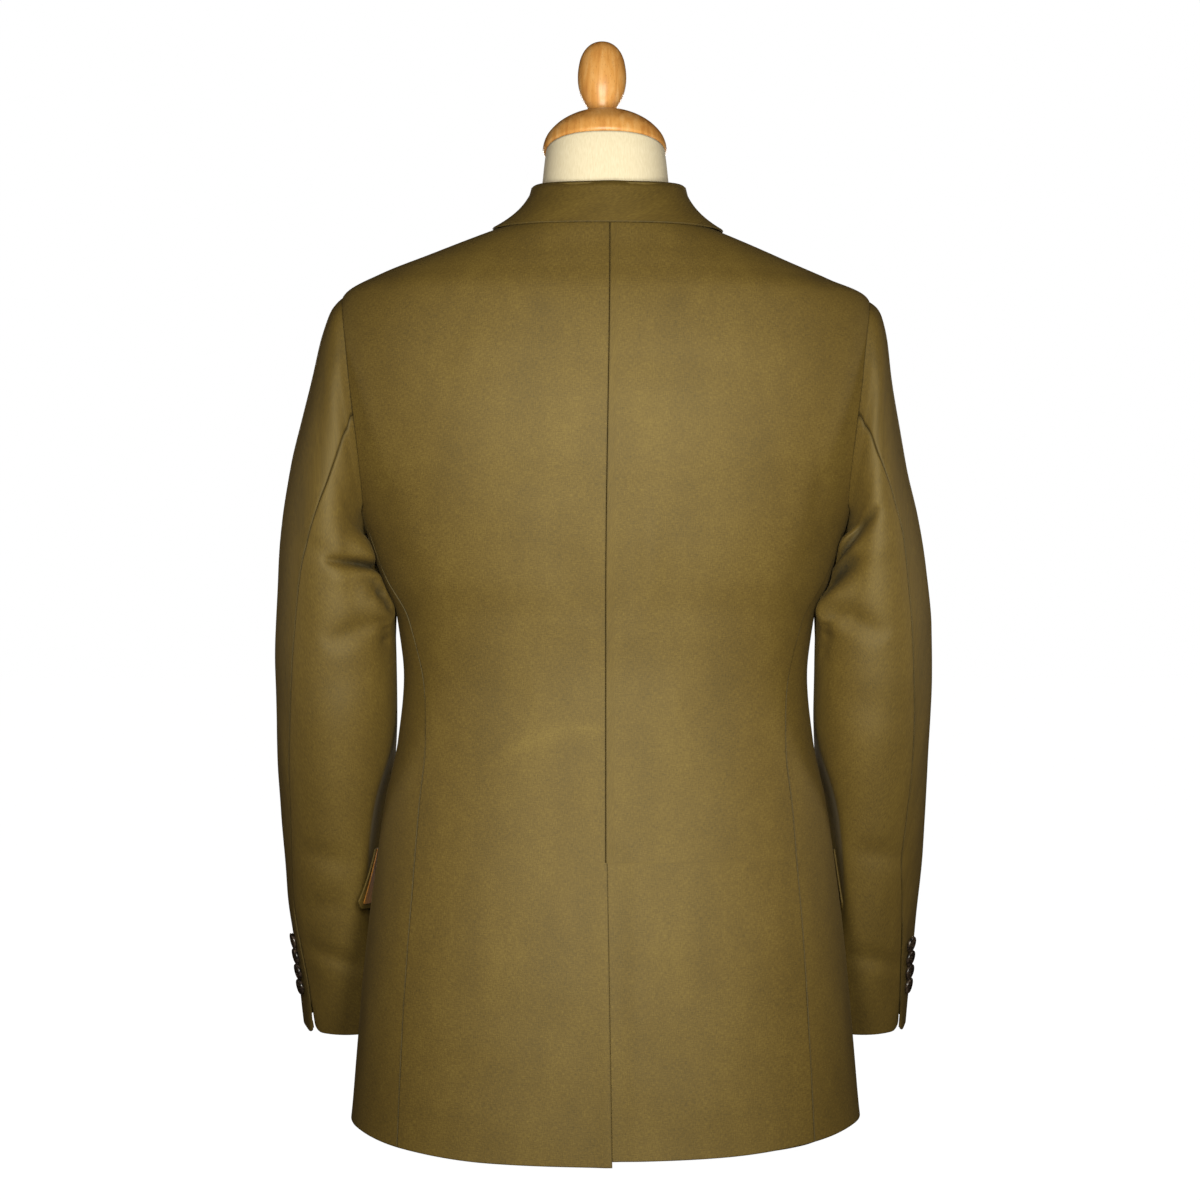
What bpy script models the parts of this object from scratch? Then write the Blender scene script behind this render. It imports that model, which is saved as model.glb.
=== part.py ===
"""Single-breasted moleskin jacket, worn by a limbless tailor's form with a turned wooden cap.

Metres, +Z up. The back of the jacket faces -Y and the wearer's right side is +X. The origin is the
centre of the form's flat underside. Every cloth piece is a thin wall on one shared body surface or on
one sleeve surface, worked out from the tables below for the wearer's right side and then mirrored.
"""

import math

import bpy
import numpy as np
from mathutils import Matrix, Vector

# ---------------------------------------------------------------- cloth, gaps and seams
CLOTH = 0.0018  # moleskin with its interlining
FLAP_CLOTH = 0.0016
FLAP_LINING = 0.0010
SEAM_GAP = 0.0003

# ---------------------------------------------------------------- body surface
BACK_POWER = 2.35  # squareness of the rings behind the sides
FRONT_POWER = 2.2
RING_COLUMNS = ("level", "half_width", "back_y", "side_y", "front_y", "back_z", "side_z", "front_z")
BODY_RINGS = (
    (0.0120, 0.2228, -0.1510, -0.006, 0.1280, 0.0120, 0.0120, 0.0120),
    (0.1036, 0.2165, -0.1465, -0.006, 0.1280, 0.1036, 0.1036, 0.1036),
    (0.1916, 0.2086, -0.1380, -0.004, 0.1270, 0.1916, 0.1916, 0.1916),
    (0.2514, 0.2011, -0.1270, -0.002, 0.1240, 0.2514, 0.2514, 0.2514),
    (0.3060, 0.1936, -0.1150, 0.000, 0.1210, 0.3060, 0.3060, 0.3060),
    (0.3600, 0.1825, -0.1050, 0.002, 0.1180, 0.3600, 0.3600, 0.3600),
    (0.4116, 0.1778, -0.1005, 0.003, 0.1165, 0.4116, 0.4116, 0.4116),
    (0.4650, 0.1830, -0.1060, 0.003, 0.1195, 0.4650, 0.4650, 0.4650),
    (0.5000, 0.1975, -0.1125, 0.002, 0.1240, 0.5000, 0.5000, 0.5000),
    (0.5400, 0.2095, -0.1190, 0.000, 0.1295, 0.5400, 0.5400, 0.5400),
    (0.5750, 0.2200, -0.1230, -0.001, 0.1325, 0.5750, 0.5750, 0.5750),
    (0.6100, 0.2320, -0.1262, -0.002, 0.1340, 0.6100, 0.6100, 0.6080),
    (0.6500, 0.2400, -0.1270, -0.004, 0.1330, 0.6500, 0.6510, 0.6450),
    (0.6900, 0.2420, -0.1235, -0.006, 0.1270, 0.6900, 0.6930, 0.6800),
    (0.7200, 0.2385, -0.1185, -0.006, 0.1190, 0.7195, 0.7230, 0.7030),
    (0.7520, 0.2290, -0.1110, -0.006, 0.1080, 0.7480, 0.7485, 0.7260),
    (0.7860, 0.2000, -0.1020, -0.006, 0.0970, 0.7672, 0.7655, 0.7420),
    (0.8290, 0.1600, -0.0930, -0.007, 0.0850, 0.7850, 0.7808, 0.7560),
    (0.8720, 0.1200, -0.0850, -0.008, 0.0730, 0.8025, 0.7958, 0.7680),
    (0.9175, 0.0770, -0.0770, -0.009, 0.0600, 0.8175, 0.8105, 0.7780),
)
HEM_LEVEL = 0.012
JOINT_LEVEL = 0.560  # where the side seams meet the armhole
ARMHOLE_BOTTOM = 0.541
TIP_LEVEL = 0.752  # shoulder tip, the top of the armhole
NECK_LEVEL = 0.9175
NECK_SHIFT = 0.0036  # the neck of the photographed jacket lies this far to the right
NECK_SHIFT_REACH = 0.13

# The right shoulder hangs a little lower than the left one along its ridge.
DROP_COLUMNS = ("level", "left", "right")
SHOULDER_DROP = (
    (0.6500, 0.0, 0.0),
    (0.7200, 0.0, 0.0012),
    (0.7520, 0.0, 0.0032),
    (0.7860, 0.0, 0.0066),
    (0.8290, 0.0, 0.0050),
    (0.8720, 0.0, 0.0032),
    (0.9175, 0.0, 0.0015),
)

# The hem rises from the centre back to the sides, and a little less towards the front.
HEM_COLUMNS = ("angle", "left", "right")
HEM_RISE = (
    (0, 0.0002, 0.0046),
    (25, 0.0020, 0.0068),
    (48, 0.0085, 0.0132),
    (70, 0.0165, 0.0200),
    (90, 0.0190, 0.0215),
    (130, 0.0150, 0.0160),
    (180, 0.0120, 0.0120),
)
HEM_FADE = 0.10

# ---------------------------------------------------------------- seams on the body
SEAM_COLUMNS = ("level", "back_seam", "front_seam")
SIDE_SEAMS = (
    (0.012, 48.7, 124),
    (0.200, 49.9, 121),
    (0.310, 51.7, 119),
    (0.400, 56.6, 118),
    (0.460, 63.6, 117),
    (0.520, 73.0, 116),
    (0.560, 77.5, 114),
)
ARMHOLE_COLUMNS = ("level", "back_x", "front_x")
ARMHOLE_EDGES = (
    (0.560, 0.2104, 0.2085),
    (0.585, 0.2112, 0.2010),
    (0.612, 0.2135, 0.1965),
    (0.650, 0.2180, 0.1950),
    (0.690, 0.2228, 0.1985),
    (0.720, 0.2264, 0.2080),
    (0.740, 0.2286, 0.2205),
)

# ---------------------------------------------------------------- centre vent
VENT_TOP = 0.262
VENT_TUCK = 0.0024  # how far the underlap lies inside the panel that covers it
VENT_UNDERLAP = 0.034
VENT_EDGE_TOP = 0.0014
VENT_EDGE_HEM = 0.0054
VENT_STEPS = (0.276, 0.290)  # the underlap sinks in between these levels
COVER_COLUMNS = (0.0090, 0.0220)  # columns beside the vent's edge, on the panel that covers
UNDER_COLUMNS = (0.0075, 0.0190)

# ---------------------------------------------------------------- fronts, lapels, collar
BREAK_HEIGHT = 0.405
FRONT_LAP = 0.018
FRONT_TUCK = 0.0078  # the right front lies this far inside the left one at the lap
TUCK_FROM, TUCK_TO = 0.020, 0.090
CUTAWAY_HEIGHT = 0.270
CUTAWAY = 0.062
QUARTER_RADIUS = 0.055
QUARTER_FOOT = 0.022
ROLL_COLUMNS = ("height", "edge")
ROLL_LINE = (
    (0.405, -0.0180),
    (0.500, 0.0045),
    (0.600, 0.0275),
    (0.700, 0.0500),
    (0.762, 0.0632),
    (0.790, 0.0700),
    (0.8125, 0.0768),
)
GORGE_HEIGHT = 0.762
GORGE_GAP = 0.0008
LAPEL_ROLL = 0.0030
LAPEL_ACROSS = (0.0, 0.03, 0.10, 0.28, 0.52, 0.76, 1.0)
LAPEL_LIFT = (0.0006, 0.0036, 0.0048, 0.0045, 0.0040, 0.0036, 0.0034)
LAPEL_BELLY = 0.0030  # the covering lapel rolls more roundly above the break
LAPEL_BELLY_SHARE = (0.0, 0.5, 1.0, 0.6, 0.2, 0.0, 0.0)
LAPEL_COLUMNS = ("along", "edge", "height")
LAPEL_EDGE = (
    (0.00, -0.0140, 0.4070),
    (0.15, 0.0160, 0.4380),
    (0.35, 0.0560, 0.4950),
    (0.60, 0.0970, 0.5850),
    (0.80, 0.1240, 0.6560),
    (0.93, 0.1395, 0.7080),
    (1.00, 0.1430, 0.7265),
)
COLLAR_BACK = (0, 18, 36, 54, 72, 90)  # angles of the stations round the back of the neck
FOLD_HALF_WIDTH = 0.0658
FOLD_BACK_Y, FOLD_SIDE_Y = -0.0690, -0.004
FOLD_BACK_Z, FOLD_SIDE_Z = 0.8400, 0.8430
FOLD_RADIUS = 0.0024
BEND_BACK, BEND_SIDE, BEND_DROP = 0.58, 0.22, 0.60  # where the fall bends, between fold and leaf edge
BEND_CLEAR = 0.0050
FALL_SHARES = (0.25, 0.55, 0.80)
FOOT_GAP = 0.0012
FOOT_IN_SIDE, FOOT_IN_FRONT, FOOT_UP_FRONT = 0.0022, 0.0032, 0.0004
LEAF_LEVEL = 0.8890
LEAF_LIFT = 0.0034
COLLAR_FRONT_COLUMNS = ("foot_height", "stand", "leaf_x", "leaf_z", "lift")
COLLAR_FRONT = (
    (0.8010, 0.0240, 0.1030, 0.7945, 0.0042),
    (0.7890, 0.0170, 0.1130, 0.7820, 0.0036),
    (0.7770, 0.0110, 0.1235, 0.7700, 0.0034),
    (0.7625, 0.0050, 0.1085, 0.7430, 0.0029),
)

# ---------------------------------------------------------------- pocket flaps
FLAP_TOP, FLAP_BOTTOM = 0.2620, 0.2080
FLAP_REAR, FLAP_FRONT = 93, 150
FLAP_FLARE = {-1: 0.0125, 1: 0.0030}  # how far the rear lower corner stands off
FLAP_UNDER = 0.0026
FLAP_INSET = 0.0020

# ---------------------------------------------------------------- sleeves
SLEEVE_COLUMNS = (
    "outer_left", "outer_right", "outer_z", "inner_x", "inner_z", "mid_y", "back", "front", "tilt",
    "seam_left", "seam_right", "front_seam",
)
SLEEVE_RINGS = (
    (0.2290, 0.2290, 0.7480, 0.2090, 0.541, 0.012, 0.076, 0.074, 0.00, 97, 97, -112),
    (0.2385, 0.2390, 0.7400, 0.2100, 0.540, 0.010, 0.080, 0.075, 0.00, 95, 95, -112),
    (0.2475, 0.2460, 0.7170, 0.2110, 0.537, 0.006, 0.081, 0.077, 0.00, 92, 92, -112),
    (0.2565, 0.2505, 0.6800, 0.2115, 0.532, 0.003, 0.080, 0.079, 0.00, 88, 88, -112),
    (0.2662, 0.2565, 0.6400, 0.2090, 0.524, 0.001, 0.079, 0.080, 0.00, 83, 84, -112),
    (0.2759, 0.2636, 0.6000, 0.2045, 0.512, 0.000, 0.078, 0.080, 0.00, 77, 78, -112),
    (0.2829, 0.2741, 0.5550, 0.1990, 0.497, 0.000, 0.076, 0.078, 0.00, 70, 70, -112),
    (0.2873, 0.2812, 0.5100, 0.1930, 0.479, 0.000, 0.073, 0.074, 0.00, 63, 62, -112),
    (0.2892, 0.2866, 0.4600, 0.1850, 0.452, 0.001, 0.069, 0.070, 0.00, 55, 56, -112),
    (0.2904, 0.2869, 0.4200, 0.1835, 0.418, 0.004, 0.066, 0.066, 0.03, 50, 54, -112),
    (0.2904, 0.2868, 0.3800, 0.1835, 0.379, 0.012, 0.064, 0.063, 0.06, 46, 54, -112),
    (0.2906, 0.2862, 0.3400, 0.1850, 0.340, 0.023, 0.061, 0.060, 0.10, 43, 55, -112),
    (0.2893, 0.2858, 0.3000, 0.1880, 0.300, 0.037, 0.058, 0.057, 0.13, 40, 56, -112),
    (0.2881, 0.2845, 0.2600, 0.1905, 0.260, 0.051, 0.055, 0.054, 0.15, 37, 56, -112),
    (0.2870, 0.2825, 0.2200, 0.1915, 0.220, 0.065, 0.052, 0.052, 0.16, 35, 54, -112),
    (0.2828, 0.2805, 0.1800, 0.1915, 0.180, 0.080, 0.050, 0.050, 0.16, 38, 49, -112),
    (0.2798, 0.2780, 0.1400, 0.1910, 0.140, 0.096, 0.048, 0.048, 0.16, 43, 43, -112),
    (0.2775, 0.2760, 0.0960, 0.1905, 0.096, 0.114, 0.0465, 0.0465, 0.16, 46, 38, -112),
)
CAP_FADE = 0.30  # share of the sleeve over which the armhole's own shape dies away
SLEEVE_CLEAR_LOW, SLEEVE_CLEAR_HIGH = 0.0090, 0.0016
CLEAR_BETWEEN = (0.28, 0.40)
PRESS_SOFTNESS = 0.003
CUFF_CORNER = 0.003
ARM_RADIUS = 0.06
FOLD_COLUMNS = ("hand", "height", "angle", "long", "wide", "deep", "slant")
SLEEVE_FOLDS = (
    (-1, 0.512, 112, 0.055, 0.0110, 0.0070, -0.10),
    (-1, 0.545, 100, 0.050, 0.0140, -0.0035, -0.15),
    (-1, 0.470, 118, 0.045, 0.0150, 0.0040, -0.45),
    (1, 0.555, 112, 0.045, 0.0110, 0.0060, 0.55),
    (1, 0.490, 112, 0.050, 0.0130, 0.0050, 0.60),
    (1, 0.525, 95, 0.050, 0.0150, -0.0030, 0.55),
)

# ---------------------------------------------------------------- buttons
CUFF_BUTTON_RADIUS, CUFF_BUTTON_THICK = 0.0074, 0.0032
CUFF_BUTTON_PITCH = 0.0152
CUFF_BUTTON_FIRST = {-1: 0.1755, 1: 0.1735}  # height of the top one
CUFF_BUTTON_IN = {-1: 15.0, 1: 15.0}  # degrees from the back seam
CUFF_BUTTONS = 4
FRONT_BUTTON_RADIUS, FRONT_BUTTON_THICK = 0.0100, 0.0040
FRONT_BUTTON_HEIGHTS = (0.388, 0.283)
BUTTON_LIFT = 0.0008

# ---------------------------------------------------------------- tailor's form
FORM_INSET = 0.0120
FORM_SHOULDER = 0.2080
FOOT_COLUMNS = ("height", "inset")  # the form is rounded under, down to its flat base
FOOT_PROFILE = (
    (0.000, 0.1000),
    (0.004, 0.0780),
    (0.009, 0.0540),
    (0.016, 0.0300),
    (0.026, 0.0165),
    (0.048, FORM_INSET),
)
FORM_SIDES = 32
FORM_LEVELS = (
    *np.linspace(0.10, 0.70, 13), 0.728, 0.752, 0.776, 0.805, 0.840, 0.880, 0.910,
)
NECK_COLUMNS = ("height", "half_width", "back_y", "side_y", "front_y")
NECK_RINGS = (
    (0.8170, 0.0640, -0.0665, -0.007, 0.0560),
    (0.8300, 0.0590, -0.0640, -0.005, 0.0530),
    (0.8430, 0.0560, -0.0615, -0.003, 0.0525),
    (0.8600, 0.0538, -0.0575, -0.001, 0.0525),
    (0.8700, 0.0525, -0.0545, 0.000, 0.0525),
)
CAP_TILT = math.radians(13.5)  # the back of the cap is the higher side
CAP_CENTRE = (-0.0006, -0.001, 0.8735)
CAP_PROFILE = (
    (0.0500, 0.0000), (0.0530, 0.0008), (0.0545, 0.0034), (0.0543, 0.0062), (0.0525, 0.0125),
    (0.0468, 0.0205), (0.0366, 0.0286), (0.0255, 0.0338), (0.0172, 0.0364), (0.0126, 0.0375),
)
FINIAL_PROFILE = (
    (0.0122, 0.0378), (0.0120, 0.0410), (0.0131, 0.0444), (0.0160, 0.0499), (0.0193, 0.0578),
    (0.0211, 0.0662), (0.0215, 0.0745), (0.0207, 0.0830), (0.0186, 0.0918), (0.0155, 0.0978),
    (0.0114, 0.1022), (0.0064, 0.1048),
)
FINIAL_SHIFT = -0.0024  # the knob is turned a little off the cap's middle
FINIAL_TOP = 0.1058

# ---------------------------------------------------------------- finishes: colour, roughness, metallic
FINISHES = {
    "moleskin": ((0.200, 0.145, 0.048), 0.92, 0.0),
    "satin": ((0.560, 0.290, 0.060), 0.45, 0.0),
    "horn": ((0.030, 0.022, 0.018), 0.35, 0.0),
    "jersey": ((0.800, 0.700, 0.520), 0.90, 0.0),
    "beech": ((0.620, 0.310, 0.085), 0.32, 0.0),
}

HANDS = {-1: "left", 1: "right"}


# ================================================================ small helpers
def smooth(at, knots, values):
    """Monotone cubic curve through the knots, so a table's column never overshoots."""
    at, knots, values = np.asarray(at, float), np.asarray(knots, float), np.asarray(values, float)
    step = np.diff(knots)
    rise = np.diff(values) / step
    slope = np.empty(len(knots))
    slope[0], slope[-1] = rise[0], rise[-1]
    same = rise[:-1] * rise[1:] > 0
    total = np.where(same, rise[:-1] + rise[1:], 1.0)
    slope[1:-1] = np.where(same, 2 * rise[:-1] * rise[1:] / total, 0.0)
    at = np.clip(at, knots[0], knots[-1])
    i = np.clip(np.searchsorted(knots, at, side="right") - 1, 0, len(step) - 1)
    t = (at - knots[i]) / step[i]
    return (
        values[i] * (1 + 2 * t) * (1 - t) ** 2
        + values[i + 1] * t * t * (3 - 2 * t)
        + step[i] * slope[i] * t * (1 - t) ** 2
        - step[i] * slope[i + 1] * t * t * (1 - t)
    )


def column(table, names, name, at):
    """A table's named column, read at places along its first column."""
    rows = np.array(table, float)
    return smooth(at, rows[:, 0], rows[:, names.index(name)])


def named(table, names):
    """A table's columns as arrays, by name."""
    rows = np.array(table, float)
    return {name: rows[:, k] for k, name in enumerate(names)}


def ease(value, low, high):
    """0 below low, 1 above high and a smooth step between them."""
    t = np.clip((value - low) / (high - low), 0, 1)
    return t * t * (3 - 2 * t)


def unit(vectors):
    return vectors / np.maximum(np.linalg.norm(vectors, axis=-1, keepdims=True), 1e-12)


def dot(first, second):
    return (first * second).sum(-1, keepdims=True)


# ================================================================ the body surface
def squared_circle(angle):
    """Sine and cosine of a rounded square: |s|^p + |c|^p = 1, flatter behind than in front."""
    sine, cosine = np.sin(angle), np.cos(angle)
    power = np.where(cosine > 0, BACK_POWER, FRONT_POWER)
    size = (np.abs(sine) ** power + np.abs(cosine) ** power) ** (1 / power)
    return sine / size, cosine / size


def ring_values(level):
    """The columns of the ring table at a level."""
    return [column(BODY_RINGS, RING_COLUMNS, name, level) for name in RING_COLUMNS[1:]]


def body(angle, level, hand):
    """Points of the body surface. The angle (radians) runs from centre back over the side to centre
    front, and the level runs up from the hem, over the shoulder and in to the neck."""
    angle, level = np.broadcast_arrays(np.asarray(angle, float), np.asarray(level, float))
    half_width, back_y, side_y, front_y, back_z, side_z, front_z = ring_values(level)
    side, end = squared_circle(angle)
    behind = end > 0
    x = half_width * side
    y = side_y - end * np.where(behind, side_y - back_y, front_y - side_y)
    z = side_z + (np.where(behind, back_z, front_z) - side_z) * end**2
    rise = column(HEM_RISE, HEM_COLUMNS, HANDS[hand], np.degrees(np.abs(angle)))
    z = z + rise * np.clip(1 - (level - HEM_LEVEL) / HEM_FADE, 0, 1) ** 2
    drop = column(SHOULDER_DROP, DROP_COLUMNS, HANDS[hand], level)
    z = z - drop * np.sin(angle) ** 2
    return np.stack([x, y, z], axis=-1)


def body_normal(angle, level, hand):
    """Outward unit normals of the body surface, from central differences."""
    nudge = 1e-4
    around = body(angle + nudge, level, hand) - body(angle - nudge, level, hand)
    low = np.maximum(level - nudge, HEM_LEVEL)
    high = np.minimum(level + nudge, NECK_LEVEL)
    up = body(angle, high, hand) - body(angle, low, hand)
    return unit(np.cross(around, up))


def angle_at(x, level, front=False):
    """The angle of a ring at which it is x from the centre line, in closed form."""
    half_width = column(BODY_RINGS, RING_COLUMNS, "half_width", level)
    power = FRONT_POWER if front else BACK_POWER
    side = np.clip(x / half_width, -1, 1)
    end = (1 - np.abs(side) ** power) ** (1 / power)
    return np.arctan2(side, -end if front else end)


def side_seam(name, level):
    return np.radians(column(SIDE_SEAMS, SEAM_COLUMNS, name, level))


def armhole_angle(level, front):
    """The armhole's edge, which closes at the shoulder tip."""
    name = "front_x" if front else "back_x"
    x = column(ARMHOLE_EDGES, ARMHOLE_COLUMNS, name, level)
    top = ARMHOLE_EDGES[-1][0]
    angle = angle_at(x, np.minimum(level, top), front)
    shut = np.sqrt(np.clip((TIP_LEVEL - level) / (TIP_LEVEL - top), 0, 1))
    return math.pi / 2 + (angle - math.pi / 2) * np.where(level > top, shut, 1)


def armhole_floor(angle):
    """The level of the armhole's lower curve between the two side seams."""
    start = side_seam("back_seam", JOINT_LEVEL)
    stop = side_seam("front_seam", JOINT_LEVEL)
    share = np.clip((angle - start) / (stop - start), 0, 1)
    return JOINT_LEVEL - (JOINT_LEVEL - ARMHOLE_BOTTOM) * (4 * share * (1 - share)) ** 0.75


def in_gap(angle, level, hand, gap):
    """An angle moved so that the point is gap away along the ring."""
    nudge = 1e-4
    step = body(angle + nudge, level, hand) - body(angle - nudge, level, hand)
    return angle + gap * 2 * nudge / np.linalg.norm(step, axis=-1)


# ================================================================ solids from grids
def material(finish):
    """The finish's Principled material, made once."""
    found = bpy.data.materials.get(finish)
    if found:
        return found
    colour, roughness, metallic = FINISHES[finish]
    made = bpy.data.materials.new(finish)
    made.use_nodes = True
    shader = made.node_tree.nodes["Principled BSDF"]
    shader.inputs["Base Color"].default_value = (*colour, 1.0)
    shader.inputs["Roughness"].default_value = roughness
    shader.inputs["Metallic"].default_value = metallic
    return made


def settle(points):
    """The neck of the jacket lies a little to the right of the form's middle."""
    moved = points.copy()
    high = ease(points[..., 2], 0.48, 0.80)
    moved[..., 0] += NECK_SHIFT * high * np.exp(-((points[..., 0] / NECK_SHIFT_REACH) ** 2))
    return moved


def add_object(name, points, faces, finish, parent):
    """A named mesh object whose faces are turned outwards by the sign of its volume."""
    points = np.asarray(points, float)
    volume = 0.0
    for face in faces:
        for k in range(1, len(face) - 1):
            a, b, c = points[face[0]], points[face[k]], points[face[k + 1]]
            volume += float(np.dot(a, np.cross(b, c)))
    if volume < 0:
        faces = [tuple(reversed(face)) for face in faces]
    mesh = bpy.data.meshes.new(name)
    mesh.from_pydata(points.tolist(), [], [tuple(int(i) for i in face) for face in faces])
    mesh.update()
    made = bpy.data.objects.new(name, mesh)
    made.data.materials.append(material(finish))
    made.parent = parent
    bpy.context.scene.collection.objects.link(made)
    mesh.shade_smooth()
    mesh.set_sharp_from_angle(angle=math.radians(40))
    return made


def wall_faces(rows, columns):
    """Quads of a closed wall: the outer grid, the inner grid and the rim round both."""
    index = np.arange(rows * columns).reshape(rows, columns)
    a, b, c, d = index[:-1, :-1], index[:-1, 1:], index[1:, 1:], index[1:, :-1]
    outer = np.stack([a, b, c, d], axis=-1).reshape(-1, 4)
    inner = outer[:, ::-1] + rows * columns
    edge = np.concatenate([index[0, :-1], index[:-1, -1], index[-1, :0:-1], index[:0:-1, 0]])
    after = np.roll(edge, -1)
    rim = np.stack([after, edge, edge + rows * columns, after + rows * columns], axis=-1)
    return np.concatenate([outer, inner, rim])


def wall(name, outer, inner, hand, finish, parent, shift=True):
    """A closed cloth wall between two grids of points, mirrored for the wearer's left."""
    points = np.concatenate([outer.reshape(-1, 3), inner.reshape(-1, 3)])
    points = points * np.array([hand, 1, 1])
    points = settle(points) if shift else points
    return add_object(name, points, wall_faces(*outer.shape[:2]), finish, parent)


def grid_normals(points):
    """Unit normals of a grid of points, across the columns and then up the rows."""
    along = np.gradient(points, axis=1)
    up = np.gradient(points, axis=0)
    return unit(np.cross(along, up))


# ================================================================ body panels
LOW_ROWS = np.concatenate([
    np.linspace(HEM_LEVEL, 0.20, 5), (0.238, VENT_TOP), VENT_STEPS, np.linspace(0.330, 0.500, 5), (0.532,),
    (JOINT_LEVEL,),
])
ARM_ROWS = np.array((0.585, 0.612, 0.640, 0.670, 0.700, 0.722, 0.738, 0.7462, 0.7503, TIP_LEVEL))
YOKE_ROWS = np.linspace(TIP_LEVEL, NECK_LEVEL, 6)[1:]
PANEL_ROWS = np.concatenate([LOW_ROWS, ARM_ROWS, YOKE_ROWS])


def back_edge(level):
    """The outer edge of the back: side seam, armhole, then shoulder seam along the ridge."""
    arm = armhole_angle(np.clip(level, JOINT_LEVEL, TIP_LEVEL), front=False)
    seam = side_seam("back_seam", level)
    return np.where(level <= JOINT_LEVEL, seam, np.where(level < TIP_LEVEL, arm, math.pi / 2))


def front_side_edge(level):
    """The outer edge of the front: front seam, armhole, then shoulder seam along the ridge."""
    arm = armhole_angle(np.clip(level, JOINT_LEVEL, TIP_LEVEL), front=True)
    seam = side_seam("front_seam", level)
    return np.where(level <= JOINT_LEVEL, seam, np.where(level < TIP_LEVEL, arm, math.pi / 2))


def panel_wall(name, angle, level, hand, sink, finish, parent, thick=CLOTH):
    """A cloth wall on the body surface, sunk inwards by a length at each point."""
    normal = body_normal(angle, level, hand)
    outer = body(angle, level, hand) - normal * sink[..., None]
    return wall(name, outer, outer - normal * thick, hand, finish, parent)


def back_panel(hand, parent):
    """Centre back to side seam. The left one laps over the right one's underlap at the vent."""
    level = PANEL_ROWS
    half = SEAM_GAP / 2
    open_share = np.clip((VENT_TOP - level) / (VENT_TOP - HEM_LEVEL), 0, 1)
    if hand < 0:
        lap = VENT_EDGE_TOP + (VENT_EDGE_HEM - VENT_EDGE_TOP) * open_share
        start = np.where(level < VENT_TOP - 0.001, -lap, half)
        second, third = (start + step for step in COVER_COLUMNS)
        sink = np.zeros((len(level), 1))
    else:
        start = np.where(level <= VENT_TOP, -VENT_UNDERLAP, half)
        second, third = (np.full(len(level), x) for x in UNDER_COLUMNS)
        sink = VENT_TUCK * (level <= VENT_STEPS[0])[:, None]
    fixed = [angle_at(x, level) for x in (start, second, third)]
    stop = in_gap(back_edge(level), level, hand, -half)
    rest = np.linspace(0, 1, 9)[1:]
    angle = np.concatenate([
        np.stack(fixed, axis=1),
        fixed[2][:, None] + (stop - fixed[2])[:, None] * rest,
    ], axis=1)
    level = np.repeat(level[:, None], angle.shape[1], axis=1)
    near = np.zeros_like(angle)
    near[:, :2] = 1
    return panel_wall(f"back_{HANDS[hand]}", angle, level, hand, near * sink, "moleskin", parent)


def side_panel(hand, parent):
    """Between the side seams, from the hem to the lower curve of the armhole."""
    share = np.linspace(0, 1, 7)
    rows = LOW_ROWS
    start = in_gap(side_seam("back_seam", rows), rows, hand, SEAM_GAP / 2)
    stop = in_gap(side_seam("front_seam", rows), rows, hand, -SEAM_GAP / 2)
    angle = start[:, None] + (stop - start)[:, None] * share
    top = armhole_floor(angle[-1])
    level = HEM_LEVEL + (rows - HEM_LEVEL)[:, None] * (top - HEM_LEVEL) / (JOINT_LEVEL - HEM_LEVEL)
    return panel_wall(
        f"side_{HANDS[hand]}", angle, level, hand, np.zeros_like(angle), "moleskin", parent
    )


def front_edge_x(height):
    """The front edge's distance from the centre line, at heights: roll line above the break, the lap
    below it, then the cutaway and the rounded quarter at the hem."""
    roll = column(ROLL_LINE, ROLL_COLUMNS, "edge", height)
    drop = np.clip((CUTAWAY_HEIGHT - height) / CUTAWAY_HEIGHT, 0, 1)
    low = CUTAWAY * drop**1.7
    foot = np.clip((height - QUARTER_FOOT) / QUARTER_RADIUS, 0, 1)
    corner = QUARTER_RADIUS * (1 - np.sqrt(1 - (1 - foot) ** 2))
    return np.where(height > BREAK_HEIGHT, roll, -FRONT_LAP + low + corner)


def front_tuck(x, hand):
    """How far a front lies inside the body surface: the right one passes under the left one."""
    return FRONT_TUCK * (1 - ease(x, TUCK_FROM, TUCK_TO)) if hand > 0 else np.zeros_like(x)


def front_edge_angle(level, hand):
    """The angle of each ring at which it meets the front edge, by halving."""
    low = np.full(len(level), math.radians(91))
    high = np.full(len(level), math.radians(200))
    for _ in range(40):
        middle = (low + high) / 2
        point = body(middle, level, hand)
        outside = point[:, 0] > front_edge_x(point[:, 2])
        low, high = np.where(outside, middle, low), np.where(outside, high, middle)
    return (low + high) / 2


def front_panel(hand, parent):
    """Front seam, armhole and shoulder seam to the front edge."""
    level = np.sort(np.append(PANEL_ROWS, (0.030,)))
    start = in_gap(front_side_edge(level), level, hand, SEAM_GAP / 2)
    stop = front_edge_angle(level, hand)
    share = np.array((0, 0.14, 0.28, 0.42, 0.56, 0.69, 0.80, 0.91, 1.0))
    angle = start[:, None] + (stop - start)[:, None] * share
    level = np.repeat(level[:, None], len(share), axis=1)
    sink = front_tuck(body(angle, level, hand)[..., 0], hand)
    return panel_wall(f"front_{HANDS[hand]}", angle, level, hand, sink, "moleskin", parent)


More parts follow.
